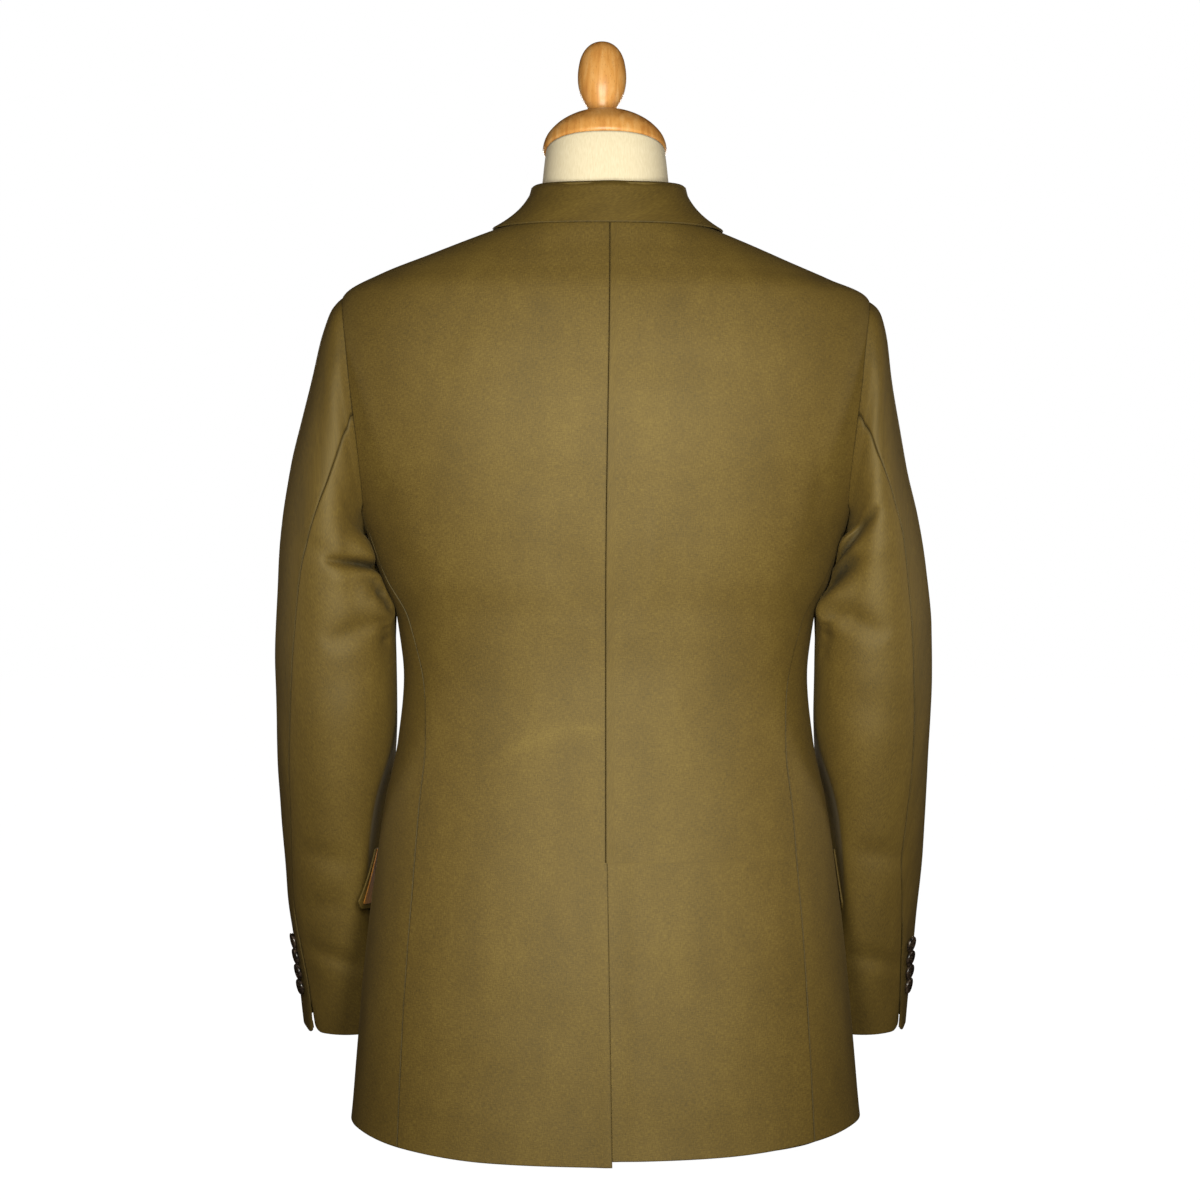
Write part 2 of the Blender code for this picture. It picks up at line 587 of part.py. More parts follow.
def on_front(x, height, hand):
    """Points and normals of the front at given widths and heights, by Newton's method."""
    angle = np.full(np.shape(x), math.radians(150.0))
    level = np.array(height, float) + np.zeros(np.shape(x))
    nudge = 1e-5
    for _ in range(30):
        here = body(angle, level, hand)
        by_angle = (body(angle + nudge, level, hand) - here) / nudge
        by_level = (body(angle, level + nudge, hand) - here) / nudge
        miss_x, miss_z = x - here[..., 0], height - here[..., 2]
        scale = by_angle[..., 0] * by_level[..., 2] - by_angle[..., 2] * by_level[..., 0]
        scale = np.where(np.abs(scale) < 1e-9, 1e-9, scale)
        turn = (miss_x * by_level[..., 2] - miss_z * by_level[..., 0]) / scale
        climb = (miss_z * by_angle[..., 0] - miss_x * by_angle[..., 2]) / scale
        angle = np.clip(angle + np.clip(turn, -0.2, 0.2), math.radians(91), math.radians(200))
        level = np.clip(level + np.clip(climb, -0.03, 0.03), HEM_LEVEL, NECK_LEVEL - 0.001)
    normal = body_normal(angle, level, hand)
    point = body(angle, level, hand)
    return point - normal * front_tuck(point[..., 0], hand)[..., None], normal


# ================================================================ lapels and collar
def lapel(hand, parent):
    """A sheet turned back from the roll line: it wraps the front's edge and lies on the chest."""
    along = np.array((0.05, 0.12, 0.20, 0.30, 0.40, 0.50, 0.60, 0.70, 0.80, 0.88, 0.95, 1.0))
    roll_z = BREAK_HEIGHT + (GORGE_HEIGHT - GORGE_GAP - BREAK_HEIGHT) * along
    roll_x = front_edge_x(roll_z)
    edge_x = column(LAPEL_EDGE, LAPEL_COLUMNS, "edge", along)
    edge_z = column(LAPEL_EDGE, LAPEL_COLUMNS, "height", along)
    across = np.array(LAPEL_ACROSS)
    start_x = roll_x - LAPEL_ROLL
    x = start_x[:, None] + (edge_x - start_x)[:, None] * across
    z = roll_z[:, None] + (edge_z - roll_z)[:, None] * across
    point, normal = on_front(x, z, hand)
    belly = LAPEL_BELLY * (1 - along)[:, None] * (hand < 0)
    height = np.array(LAPEL_LIFT) + SEAM_GAP
    lift = height + belly * np.array(LAPEL_BELLY_SHARE)
    outer = point + normal * lift[..., None]
    inward = normal.copy()
    inward[:, 0] = unit(0.3 * normal[:, 0] - np.array((1.0, 0.0, 0.0)))
    inward[:, 1] = unit(normal[:, 1] - np.array((0.8, 0.0, 0.0)))
    return wall(f"lapel_{HANDS[hand]}", outer, outer - inward * CLOTH, hand, "moleskin", parent)


def collar_half(hand):
    """Feet, folds, bends and leaf edges of the collar's stations, from centre back to the gorge."""
    angle = np.radians(COLLAR_BACK)
    neck = body(angle, NECK_LEVEL, hand)
    below = body(angle, NECK_LEVEL - 0.001, hand)
    foot = neck + unit(neck - below) * FOOT_GAP
    foot[:, 0] -= FOOT_IN_SIDE * ease(np.degrees(angle), 60, 90)
    side, end = squared_circle(angle)
    fold = np.stack([
        FOLD_HALF_WIDTH * side,
        FOLD_SIDE_Y + (FOLD_BACK_Y - FOLD_SIDE_Y) * end,
        FOLD_SIDE_Z + (FOLD_BACK_Z - FOLD_SIDE_Z) * end**2,
    ], axis=-1)
    leaf = body(angle, LEAF_LEVEL, hand) + body_normal(angle, LEAF_LEVEL, hand) * LEAF_LIFT
    out = BEND_BACK + (BEND_SIDE - BEND_BACK) * side[:, None] ** 2
    bend = fold + (leaf - fold) * np.concatenate([out, out, np.full_like(out, BEND_DROP)], axis=1)
    front = named(COLLAR_FRONT, COLLAR_FRONT_COLUMNS)
    edge, edge_normal = on_front(front_edge_x(front["foot_height"]), front["foot_height"], hand)
    front_foot = edge + np.array((-FOOT_IN_FRONT, 0, FOOT_UP_FRONT))
    turn = np.linspace(0.15, 1, len(edge))[:, None]
    lean = unit((1 - turn) * unit(fold[-1] - foot[-1]) + turn * (edge_normal + np.array((-0.25, 0, 0))))
    front_fold = front_foot + lean * front["stand"][:, None]
    chest, chest_normal = on_front(front["leaf_x"], front["leaf_z"], hand)
    front_leaf = chest + chest_normal * front["lift"][:, None]
    front_bend = (front_fold + front_leaf) / 2
    middle, middle_normal = on_front(front_bend[:, 0], front_bend[:, 2], hand)
    low = dot(front_bend - middle, middle_normal)
    front_bend = front_bend + middle_normal * np.maximum(BEND_CLEAR - low, 0)
    parts = ((foot, front_foot), (fold, front_fold), (bend, front_bend), (leaf, front_leaf))
    return [np.concatenate(pair) for pair in parts]


def collar_section(hand):
    """The folded sheet of one side, as rows from the foot over the fold to the leaf edge."""
    foot, fold, bend, leaf = collar_half(hand)
    tall = np.linalg.norm(fold - foot, axis=-1, keepdims=True)
    away = unit(bend - foot - dot(bend - foot, unit(fold - foot)) * unit(fold - foot))
    radius = np.minimum(FOLD_RADIUS, 0.4 * tall)
    fall = [(1 - t) ** 2 * fold + 2 * t * (1 - t) * bend + t * t * leaf for t in FALL_SHARES]
    return np.stack([
        foot,
        foot + (fold - foot) * 0.55,
        fold - unit(fold - foot) * radius,
        fold + away * radius * 0.9,
        *[point + away * radius * (1 - t) for point, t in zip(fall, FALL_SHARES)],
        leaf,
    ], axis=0)


def collar(parent):
    """Stand and fall: a folded sheet swept round the neck, ended at the gorge on each side."""
    left = collar_section(-1)[:, :0:-1] * np.array((-1, 1, 1))
    inner = np.concatenate([left, collar_section(1)], axis=1)
    normal = grid_normals(inner)
    if normal[0, inner.shape[1] // 2, 1] < 0:
        normal = -normal
    return wall("collar", inner, inner - normal * CLOTH, 1, "moleskin", parent)


# ================================================================ sleeves
def armhole_loop(hand):
    """Points, outward normals and hole-ward directions of the armhole's edge, from the shoulder tip
    down the back, under the arm and up the front, with the number of points on each stretch."""
    down = ARM_ROWS[::-1]
    joints = [side_seam(name, JOINT_LEVEL) for name in ("back_seam", "front_seam")]
    floor_angle = np.linspace(*joints, 7)
    angle = np.concatenate([
        back_edge(down - 1e-9), floor_angle, front_side_edge(ARM_ROWS[:-1]),
    ])
    level = np.concatenate([down, armhole_floor(floor_angle), ARM_ROWS[:-1]])
    point = body(angle, level, hand)
    normal = body_normal(angle, level, hand)
    after, before = np.roll(point, -1, axis=0), np.roll(point, 1, axis=0)
    edge = unit(after - before)
    into = unit(np.cross(edge, normal))
    into = into * np.sign(dot(point.mean(axis=0) - point, into))
    return point, normal, into


def body_half_width(y, z):
    """The body's half width beside a sleeve, at depths and heights."""
    half_width, back_y, side_y, front_y = ring_values(z)[:4]
    reach = np.where(y < side_y, side_y - back_y, front_y - side_y)
    power = np.where(y < side_y, BACK_POWER, FRONT_POWER)
    share = np.clip(np.abs(y - side_y) / reach, 0, 0.995)
    return half_width * (1 - share**power) ** (1 / power)


def sleeve_rings(hand):
    """The sleeve surface as rings of points that start on the armhole's own points, and the columns
    of its back seam and front seam."""
    start, panel_normal, into = armhole_loop(hand)
    values = named(SLEEVE_RINGS, SLEEVE_COLUMNS)
    outer_x = values[f"outer_{HANDS[hand]}"]
    back_seam = np.radians(values[f"seam_{HANDS[hand]}"])
    front_seam = np.radians(values["front_seam"])
    middle_z = (start[:, 2].max() + start[:, 2].min()) / 2
    tall = (start[:, 2].max() - start[:, 2].min()) / 2
    at = np.arctan2((start[:, 1] - 0.010) / -0.077, (start[:, 2] - middle_z) / tall)
    back_column = int(np.argmin(np.abs(at - back_seam[0])))
    front_column = int(np.argmin(np.abs(at - front_seam[0])))
    count = len(start)
    order = np.roll(np.arange(count), -front_column)  # front seam, over the top, to the front seam
    top_count = (back_column - front_column) % count
    turned = np.unwrap(at[order])
    first_share = np.concatenate([
        (turned[: top_count + 1] - turned[0]) / (turned[top_count] - turned[0]),
        1 + (np.append(turned[top_count + 1 :], turned[0] + 2 * math.pi) - turned[top_count])
        / (turned[0] + 2 * math.pi - turned[top_count]),
    ])
    even_share = np.concatenate([
        np.linspace(0, 1, top_count + 1), 1 + np.linspace(0, 1, count - top_count + 1)[1:],
    ])
    rings = []
    progress = np.linspace(0, 1, len(outer_x))
    for k in range(len(outer_x)):
        blend = ease(progress[k], 0.0, 0.45)
        share = first_share * (1 - blend) + even_share * blend
        low, high = front_seam[k], back_seam[k]
        if k == 0:
            low, high = turned[0], turned[top_count]
        angle = np.where(share <= 1, low + (high - low) * share,
                         high + (low + 2 * math.pi - high) * (share - 1))[:-1]
        c, s = np.cos(angle), np.sin(angle)
        x = (outer_x[k] + values["inner_x"][k]) / 2 + (outer_x[k] - values["inner_x"][k]) / 2 * c
        z = (values["outer_z"][k] + values["inner_z"][k]) / 2
        z = z + (values["outer_z"][k] - values["inner_z"][k]) / 2 * c
        y = values["mid_y"][k] - np.where(s > 0, values["back"][k], values["front"][k]) * s
        z = z + values["tilt"][k] * (y - values["mid_y"][k])
        rings.append(np.stack([x, y, z], axis=-1))
    rings = np.array(rings)
    seam_line = (start + into * SEAM_GAP * 1.3 + panel_normal * SEAM_GAP * 0.6)[order]
    fade = np.clip(1 - progress / CAP_FADE, 0, 1) ** 1.6
    rings = rings + (seam_line - rings[0])[None] * fade[:, None, None]
    rings[0] = seam_line
    rings[1:] = pressed(crumpled(rings[1:], hand))
    return rings, panel_normal[order], into[order], top_count


def crumpled(points, hand):
    """The sleeve's largest folds: soft troughs and ridges, each across the back of the arm."""
    centre = points.mean(axis=1, keepdims=True)
    outward = unit((points - centre) * np.array((1, 1, 0)))
    angle = np.degrees(np.arctan2(-(points[..., 1] - centre[..., 1]), points[..., 0] - centre[..., 0]))
    moved = points.copy()
    for row in SLEEVE_FOLDS:
        fold = dict(zip(FOLD_COLUMNS, row))
        if fold["hand"] != hand:
            continue
        along = np.radians(angle - fold["angle"]) * ARM_RADIUS
        across = points[..., 2] - fold["height"] - fold["slant"] * along
        push = np.exp(-((across / fold["wide"]) ** 2) - (along / fold["long"]) ** 2)
        moved -= outward * (fold["deep"] * push)[..., None]
    return moved


def pressed(points):
    """Sleeve points held off the body's side, as an arm that hangs against it is."""
    height = points[..., 2]
    clear = SLEEVE_CLEAR_LOW + (SLEEVE_CLEAR_HIGH - SLEEVE_CLEAR_LOW) * ease(height, *CLEAR_BETWEEN)
    floor = body_half_width(points[..., 1], np.clip(height, HEM_LEVEL, 0.54)) + clear
    x = points[..., 0]
    out = (x + floor + np.sqrt((x - floor) ** 2 + PRESS_SOFTNESS**2)) / 2
    near = 1 - ease(height, 0.535, 0.548)
    moved = points.copy()
    moved[..., 0] = x + (out - x) * near
    return moved


def across_seam(side, seam):
    """Directions made square to the line of a seam."""
    line = unit(np.gradient(seam, axis=0))
    return unit(side - dot(side, line) * line)


def sleeve_pieces(hand, parent):
    """Top sleeve and under sleeve, cut from the sleeve surface at its two seams."""
    rings, panel_normal, into, top_count = sleeve_rings(hand)
    count = rings.shape[1]
    around = (np.roll(rings, -1, axis=1) - np.roll(rings, 1, axis=1))
    down = np.gradient(rings, axis=0)
    normal = unit(np.cross(around, down))
    centre = rings.mean(axis=1, keepdims=True)
    normal = normal * np.sign(dot(rings - centre, normal).sum())
    inward = -normal
    toward_panel = np.minimum(dot(inward[0], into), 0)
    inward[0] = unit(inward[0] - toward_panel * into)
    half_turn = unit(np.roll(rings, -1, axis=1) - rings)
    cuts = {"top_sleeve": np.arange(top_count + 1), "under_sleeve": np.arange(top_count, count + 1)}
    for name, columns in cuts.items():
        columns = columns % count
        outer, into_wall = rings[:, columns].copy(), inward[:, columns]
        start_side = across_seam(half_turn[:, columns[0]], outer[:, 0])
        stop_side = across_seam(half_turn[:, columns[-1] - 1], outer[:, -1])
        outer[:, 0] += start_side * SEAM_GAP * 0.6
        outer[:, -1] -= stop_side * SEAM_GAP * 0.6
        at_back = -1 if name == "top_sleeve" else 0
        outer[-1, at_back, 2] += CUFF_CORNER
        inner = outer + into_wall * CLOTH
        wall(f"{name}_{HANDS[hand]}", outer, inner, hand, "moleskin", parent, shift=False)
    return rings, normal, top_count


# ================================================================ flaps
def flap_grid(hand, inset, lift):
    """A flap's points on the body surface, moved out, with its rear lower corner standing off."""
    along = np.array((0.0, 0.05, 0.14, 0.27, 0.42, 0.58, 0.74, 0.89, 1.0))
    fall = np.array((0.0, 0.3, 0.62, 0.85, 1.0))
    reach = math.radians(FLAP_FRONT - FLAP_REAR)
    trim = inset / 0.155
    share = trim + (1 - 2 * trim) * along
    angle = math.radians(FLAP_REAR) + reach * share[None, :] + 0 * fall[:, None]
    deep = fall[:, None] * (FLAP_TOP - FLAP_BOTTOM - inset)
    corner = np.where(share > 0.88, 0.010 * ((share - 0.88) / 0.12) ** 2, 0)
    level = FLAP_TOP - deep + corner[None, :] * fall[:, None] ** 3
    normal = body_normal(angle, level, hand)
    dropped = deep / (FLAP_TOP - FLAP_BOTTOM)
    flare = FLAP_FLARE[hand] * np.exp(-share[None, :] / 0.10) * dropped**1.3
    return body(angle, level, hand) + normal * (lift + flare)[..., None], normal


def flap(hand, parent):
    """The moleskin flap over its satin lining."""
    layers = (
        ("flap", 0.0, FLAP_UNDER + FLAP_CLOTH, FLAP_CLOTH, "moleskin"),
        ("flap_lining", FLAP_INSET, FLAP_UNDER - SEAM_GAP, FLAP_LINING, "satin"),
    )
    for name, inset, lift, thick, finish in layers:
        outer, normal = flap_grid(hand, inset, lift)
        outer, normal = outer[::-1], normal[::-1]
        wall(f"{name}_{HANDS[hand]}", outer, outer - normal * thick, hand, finish, parent)


# ================================================================ turned pieces
def turned(name, profile, sides, finish, parent, top=None):
    """A closed turned solid: rings round +Z from a profile of (radius, height), flat below and
    closed by a pole above when top is given, or flat on both ends."""
    angle = np.arange(sides) * 2 * math.pi / sides
    points = [(r * math.cos(a), r * math.sin(a), h) for r, h in profile for a in angle]
    faces = [tuple(reversed(range(sides)))]
    for k in range(len(profile) - 1):
        for i in range(sides):
            a, b = k * sides + i, k * sides + (i + 1) % sides
            faces.append((a, b, b + sides, a + sides))
    last = (len(profile) - 1) * sides
    if top is None:
        faces.append(tuple(range(last, last + sides)))
    else:
        points.append((0.0, 0.0, top))
        faces += [(last + i, last + (i + 1) % sides, len(points) - 1) for i in range(sides)]
    return add_object(name, points, faces, finish, parent)


def button(name, radius, thick, point, normal, parent):
    """A button with a rounded rim and a dished face, set on the cloth along its normal."""
    profile = (
        (radius * 0.80, 0.0), (radius * 0.97, thick * 0.30), (radius, thick * 0.62),
        (radius * 0.93, thick * 0.94), (radius * 0.84, thick), (radius * 0.68, thick * 0.80),
    )
    made = turned(name, profile, 12, "horn", parent)
    turn = Vector(normal).to_track_quat("Z", "Y")
    place = Vector(point) + Vector(normal) * BUTTON_LIFT
    made.matrix_world = Matrix.LocRotScale(place, turn, None)
    return made


def cuff_buttons(hand, rings, normal, top_count, parent):
    """Four kissing buttons in a row beside the back seam of the top sleeve."""
    rows = np.array(SLEEVE_RINGS)
    seam = np.radians(rows[:, SLEEVE_COLUMNS.index(f"seam_{HANDS[hand]}")])
    front = np.radians(rows[:, SLEEVE_COLUMNS.index("front_seam")])
    back = math.radians(CUFF_BUTTON_IN[hand])
    place = top_count * (1 - back / (seam - front))
    low = np.floor(place).astype(int)
    part = (place - low)[:, None]
    row = np.arange(len(rows))
    line = rings[row, low] * (1 - part) + rings[row, low + 1] * part
    facing = unit(normal[row, low] * (1 - part) + normal[row, low + 1] * part)
    step = np.linalg.norm(np.diff(line, axis=0), axis=1)
    length = np.concatenate([[0], np.cumsum(step)])
    first = np.interp(-CUFF_BUTTON_FIRST[hand], -line[:, 2], length)
    for k in range(CUFF_BUTTONS):
        at = first + k * CUFF_BUTTON_PITCH
        point = np.array([np.interp(at, length, line[:, i]) for i in range(3)])
        out = unit(np.array([np.interp(at, length, facing[:, i]) for i in range(3)]))
        mirror = np.array([hand, 1, 1])
        button(
            f"cuff_button_{HANDS[hand]}_{k + 1}", CUFF_BUTTON_RADIUS, CUFF_BUTTON_THICK,
            point * mirror, out * mirror, parent,
        )


def front_buttons(parent):
    for k, height in enumerate(FRONT_BUTTON_HEIGHTS):
        point, normal = on_front(np.array([0.0]), np.array([height]), -1)
        button(f"front_button_{k + 1}", FRONT_BUTTON_RADIUS, FRONT_BUTTON_THICK, point[0], normal[0], parent)


# ================================================================ the form
def form_rings():
    """Rings of the form from its flat base to the slanted top of its neck."""
    side, end = squared_circle(np.arange(FORM_SIDES) * 2 * math.pi / FORM_SIDES)
    behind = end > 0
    rings = []
    foot = [height for height, _ in FOOT_PROFILE]
    for level in np.concatenate([foot, FORM_LEVELS]):
        half_width, back_y, side_y, front_y, back_z, side_z, front_z = ring_values(max(level, HEM_LEVEL))
        inset = float(column(FOOT_PROFILE, FOOT_COLUMNS, "inset", level))
        wide = min(float(half_width) - inset, FORM_SHOULDER)
        deep = np.where(behind, side_y - back_y, front_y - side_y) - inset
        drop = FORM_INSET * ease(level, 0.70, 0.80)
        end_z = np.where(behind, back_z, front_z)
        z = side_z + (end_z - side_z) * end**2 - drop if level > HEM_LEVEL else level + 0 * end
        rings.append(np.stack([wide * side, side_y - deep * end, z], axis=-1))
    neck = named(NECK_RINGS, NECK_COLUMNS)
    slope = math.tan(CAP_TILT)
    for k, height in enumerate(neck["height"]):
        side_y = neck["side_y"][k]
        deep = np.where(behind, side_y - neck["back_y"][k], neck["front_y"][k] - side_y)
        y = side_y - deep * end
        share = ease(height, 0.835, neck["height"][-1])
        rim = CAP_CENTRE[2] - SEAM_GAP - slope * (y - CAP_CENTRE[1])
        z = height + share * (rim - neck["height"][-1])
        rings.append(np.stack([neck["half_width"][k] * side, y, z], axis=-1))
    return np.array(rings)


def form_torso(parent):
    """The limbless torso: one closed skin of rings with a flat base and a flat neck top."""
    rings = form_rings()
    count, sides = rings.shape[:2]
    faces = [tuple(range(sides)), tuple(range((count - 1) * sides, count * sides))[::-1]]
    for k in range(count - 1):
        for i in range(sides):
            a, b = k * sides + i, k * sides + (i + 1) % sides
            faces.append((a, a + sides, b + sides, b))
    return add_object("form_torso", rings.reshape(-1, 3), faces, "jersey", parent)


def wood(parent):
    """Neck cap and finial, turned on axes that lean forward from the neck."""
    lean = Matrix.Rotation(-CAP_TILT, 4, "X")
    cap = turned("neck_cap", CAP_PROFILE, 24, "beech", parent)
    cap.matrix_world = Matrix.Translation(CAP_CENTRE) @ lean
    knob = turned("finial", FINIAL_PROFILE, 20, "beech", parent, top=FINIAL_TOP)
    knob.matrix_world = Matrix.Translation((FINIAL_SHIFT, 0, 0)) @ cap.matrix_world


def main():
    for old in list(bpy.data.objects):
        bpy.data.objects.remove(old, do_unlink=True)
    root = bpy.data.objects.new("jacket_on_form", None)
    bpy.context.scene.collection.objects.link(root)
    form_torso(root)
    wood(root)
    for hand in HANDS:
        back_panel(hand, root)
        side_panel(hand, root)
        front_panel(hand, root)
        lapel(hand, root)
        flap(hand, root)
        rings, normal, top_count = sleeve_pieces(hand, root)
        cuff_buttons(hand, rings, normal, top_count, root)
    collar(root)
    front_buttons(root)


main()
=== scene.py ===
"""The looks of a single-breasted moleskin jacket on a limbless tailor's form.

Metres, +Z up. The jacket's back faces -Y, towards the camera, and the wearer's right side is +X. Every
cloth piece is a closed shell on one shared body surface, or on one sleeve surface, worked out as whole
arrays for the wearer's right side and then mirrored for the left one.
"""

import logging
import math
from dataclasses import dataclass, replace
from enum import Enum

import bpy
import numpy as np
from mathutils import Matrix, Vector


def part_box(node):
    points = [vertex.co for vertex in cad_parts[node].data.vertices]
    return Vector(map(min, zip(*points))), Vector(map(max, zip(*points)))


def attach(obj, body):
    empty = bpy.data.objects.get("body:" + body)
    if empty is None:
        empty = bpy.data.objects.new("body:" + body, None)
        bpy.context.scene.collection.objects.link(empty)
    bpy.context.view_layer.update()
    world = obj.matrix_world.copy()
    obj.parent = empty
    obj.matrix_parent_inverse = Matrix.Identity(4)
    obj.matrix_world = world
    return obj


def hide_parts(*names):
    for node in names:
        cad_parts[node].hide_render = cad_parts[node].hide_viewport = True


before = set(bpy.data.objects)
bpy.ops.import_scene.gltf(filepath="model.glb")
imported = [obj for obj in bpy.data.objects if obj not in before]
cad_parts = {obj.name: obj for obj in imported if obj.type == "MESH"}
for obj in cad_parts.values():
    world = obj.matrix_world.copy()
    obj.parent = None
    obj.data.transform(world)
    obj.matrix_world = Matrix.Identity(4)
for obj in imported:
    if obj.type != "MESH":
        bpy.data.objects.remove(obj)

LOG = logging.getLogger("moleskin_jacket")
Array = np.ndarray
Object = bpy.types.Object
Material = bpy.types.Material
Tree = bpy.types.NodeTree
Socket = bpy.types.NodeSocket
Finishes = tuple[Material, Material]
Pair = tuple[float, float]
Triple = tuple[float, float, float]
Sizes = tuple[float, ...]
Rows = tuple[Sizes, ...]
Stops = tuple[tuple[float, str], ...]
MM = 0.001
ROOT = "root"
SHOWN = "_shown"  # ends a piece's name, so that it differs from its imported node's
EDGE_LINES = (0.0, 0.18 * MM, 0.45 * MM, 0.95 * MM, 1.7 * MM, 2.8 * MM)  # grid lines beside a cloth edge
NUDGE = 1e-4  # for differences, in radians or metres


class Hand(Enum):
    """The wearer's side. The value mirrors a shape that is worked out for the right side."""

    LEFT = -1
    RIGHT = 1

    @property
    def word(self) -> str:
        """The side's name as the pieces spell it."""
        return self.name.lower()

    def pick(self, left: object, right: object) -> object:
        """This side's one of two things."""
        return left if self is Hand.LEFT else right


class Slot(Enum):
    """The record's material slots."""

    MOLESKIN = "moleskin"
    SATIN = "satin"
    HORN = "horn"
    JERSEY = "jersey"
    BEECH = "beech"


# ---------------- small helpers
def curve(at: Array, knots: Array, values: Array, calm: bool = True) -> Array:
    """A smooth curve through knots: in each span, the cubic that meets both knots' values and slopes.

    A calm curve never overshoots, because its slopes are harmonic means of the rises beside them.
    Any other has the slopes of the parabola through three neighbours. The ends have their own rise.

    Args:
        at: Places to read, held within the knots.
        knots: Rising places of the values.
        values: One value for each knot.
        calm: Whether the curve is a calm one.

    Returns:
        The curve at each place.
    """
    at, knots, values = (np.asarray(numbers, float) for numbers in (at, knots, values))
    step = np.diff(knots)
    rise = np.diff(values) / step
    low, high = rise[:-1], rise[1:]
    if calm:
        same = low * high > 0
        inner = np.where(same, 2 * low * high / np.where(same, low + high, 1.0), 0.0)
    else:
        inner = (low * step[1:] + high * step[:-1]) / (step[1:] + step[:-1])
    slope = np.concatenate([rise[:1], inner, rise[-1:]])
    at = np.clip(at, knots[0], knots[-1])
    i = np.clip(np.searchsorted(knots, at, side="right") - 1, 0, len(step) - 1)
    t = (at - knots[i]) / step[i]
    return (
        values[i] * (1 + 2 * t) * (1 - t) ** 2
        + values[i + 1] * t * t * (3 - 2 * t)
        + step[i] * slope[i] * t * (1 - t) ** 2
        - step[i] * slope[i + 1] * t * t * (1 - t)
    )


def ease(value: Array, low: float, high: float) -> Array:
    """0 below low, 1 above high and the cubic step 3t^2 - 2t^3 between them."""
    t = np.clip((value - low) / (high - low), 0, 1)
    return t * t * (3 - 2 * t)


def unit(vectors: Array) -> Array:
    """Vectors divided by their lengths."""
    return vectors / np.maximum(np.linalg.norm(vectors, axis=-1, keepdims=True), 1e-12)


def dot(first: Array, second: Array) -> Array:
    """Dot products, kept as a last axis of one."""
    return (first * second).sum(-1, keepdims=True)


def spaced(knots: Sizes | Array, step: float) -> Array:
    """Places through all the knots, with no gap wider than the step.

    Args:
        knots: Rising places that must be met.
        step: The widest gap.

    Returns:
        The places, in order.
    """
    parts = [
        np.linspace(a, b, max(1, math.ceil((b - a) / step)), endpoint=False)
        for a, b in zip(knots[:-1], knots[1:])
    ]
    return np.append(np.concatenate(parts), knots[-1])


def shares(width: float, step: float) -> Array:
    """Shares from 0 to 1 across a width, close together beside both ends and even between them.

    Args:
        width: The real width.
        step: The even spacing in the middle.

    Returns:
        The shares.
    """
    edge = np.array(EDGE_LINES) / width
    middle = np.linspace(edge[-1], 1 - edge[-1], max(2, round(width / step)))
    return np.concatenate([edge[:-1], middle, (1 - edge[:-1])[::-1]])


def between(start: Array, stop: Array, share: Array) -> Array:
    """A grid with a row for each start, at shares of the way to its stop."""
    return start[:, None] + (stop - start)[:, None] * share


def grid_normals(points: Array) -> Array:
    """Unit normals of a grid: the cross product of its two central differences."""
    return unit(np.cross(np.gradient(points, axis=1), np.gradient(points, axis=0)))


def lengths(points: Array, axis: int) -> Array:
    """Running lengths along one axis of a grid, from its first line."""
    step = np.cumsum(np.linalg.norm(np.diff(points, axis=axis), axis=-1), axis=axis)
    return np.concatenate([0 * np.take(step, [0], axis=axis), step], axis=axis)


@dataclass(frozen=True)
class Table:
    """Rows of numbers with named columns, read as smooth curves along the first column."""

    columns: tuple[str, ...]
    rows: Rows

    def column(self, name: str) -> Array:
        """One column's numbers."""
        return np.array(self.rows, float)[:, self.columns.index(name)]

    def at(self, name: str, place: Array) -> Array:
        """One column, read at places along the first column."""
        return curve(place, self.column(self.columns[0]), self.column(name))

    def by_row(self, name: str, place: Array) -> Array:
        """One column, read at fractional row numbers."""
        return curve(place, np.arange(len(self.rows)), self.column(name))


# ---------------- creases
@dataclass(frozen=True)
class Crease:
    """A soft trough, or a ridge where deep is negative, along a bowed line on an unrolled surface."""

    start: Pair
    end: Pair
    bow: float
    wide: float
    deep: float
    sharp: float = 2.0  # 2 is a soft trough, lower is a sharper fold
    fade: float = 0.8  # the power of the half sine that fades its ends

    def push(self, across: Array, up: Array) -> Array:
        """How far the crease moves each point inwards.

        The line is a parabola through start and end whose middle stands off by bow. The push is deep
        times exp(-(distance / wide)^sharp), and fades towards both ends as a half sine to a power.

        Args:
            across: The points' first coordinate on the unrolled surface.
            up: The points' second coordinate.

        Returns:
            Lengths to move inwards.
        """
        a, b = np.array(self.start), np.array(self.end)
        span = float(np.linalg.norm(b - a))
        along_line, off_line = (b - a) / span, np.array((-(b - a)[1], (b - a)[0])) / span
        offset = np.stack([across - a[0], up - a[1]], axis=-1)
        t = np.clip((offset @ along_line) / span, 0, 1)
        side = offset @ off_line - self.bow * 4 * t * (1 - t)
        taper = np.sin(np.pi * t) ** self.fade
        return self.deep * taper * np.exp(-((np.abs(side) / self.wide) ** self.sharp))


def pushed(creases: tuple[Crease, ...], across: Array, up: Array) -> Array:
    """The creases' pushes added together."""
    flat = np.zeros(np.broadcast(across, up).shape)
    return sum((crease.push(across, up) for crease in creases), flat)


WAVES = ((0.170, 0.3), (0.110, 1.3), (0.085, 2.3), (0.062, 0.9))  # length in metres, direction in radians
WAVE_SHIFT = 1.7  # how much further each wave is shifted, times the seed


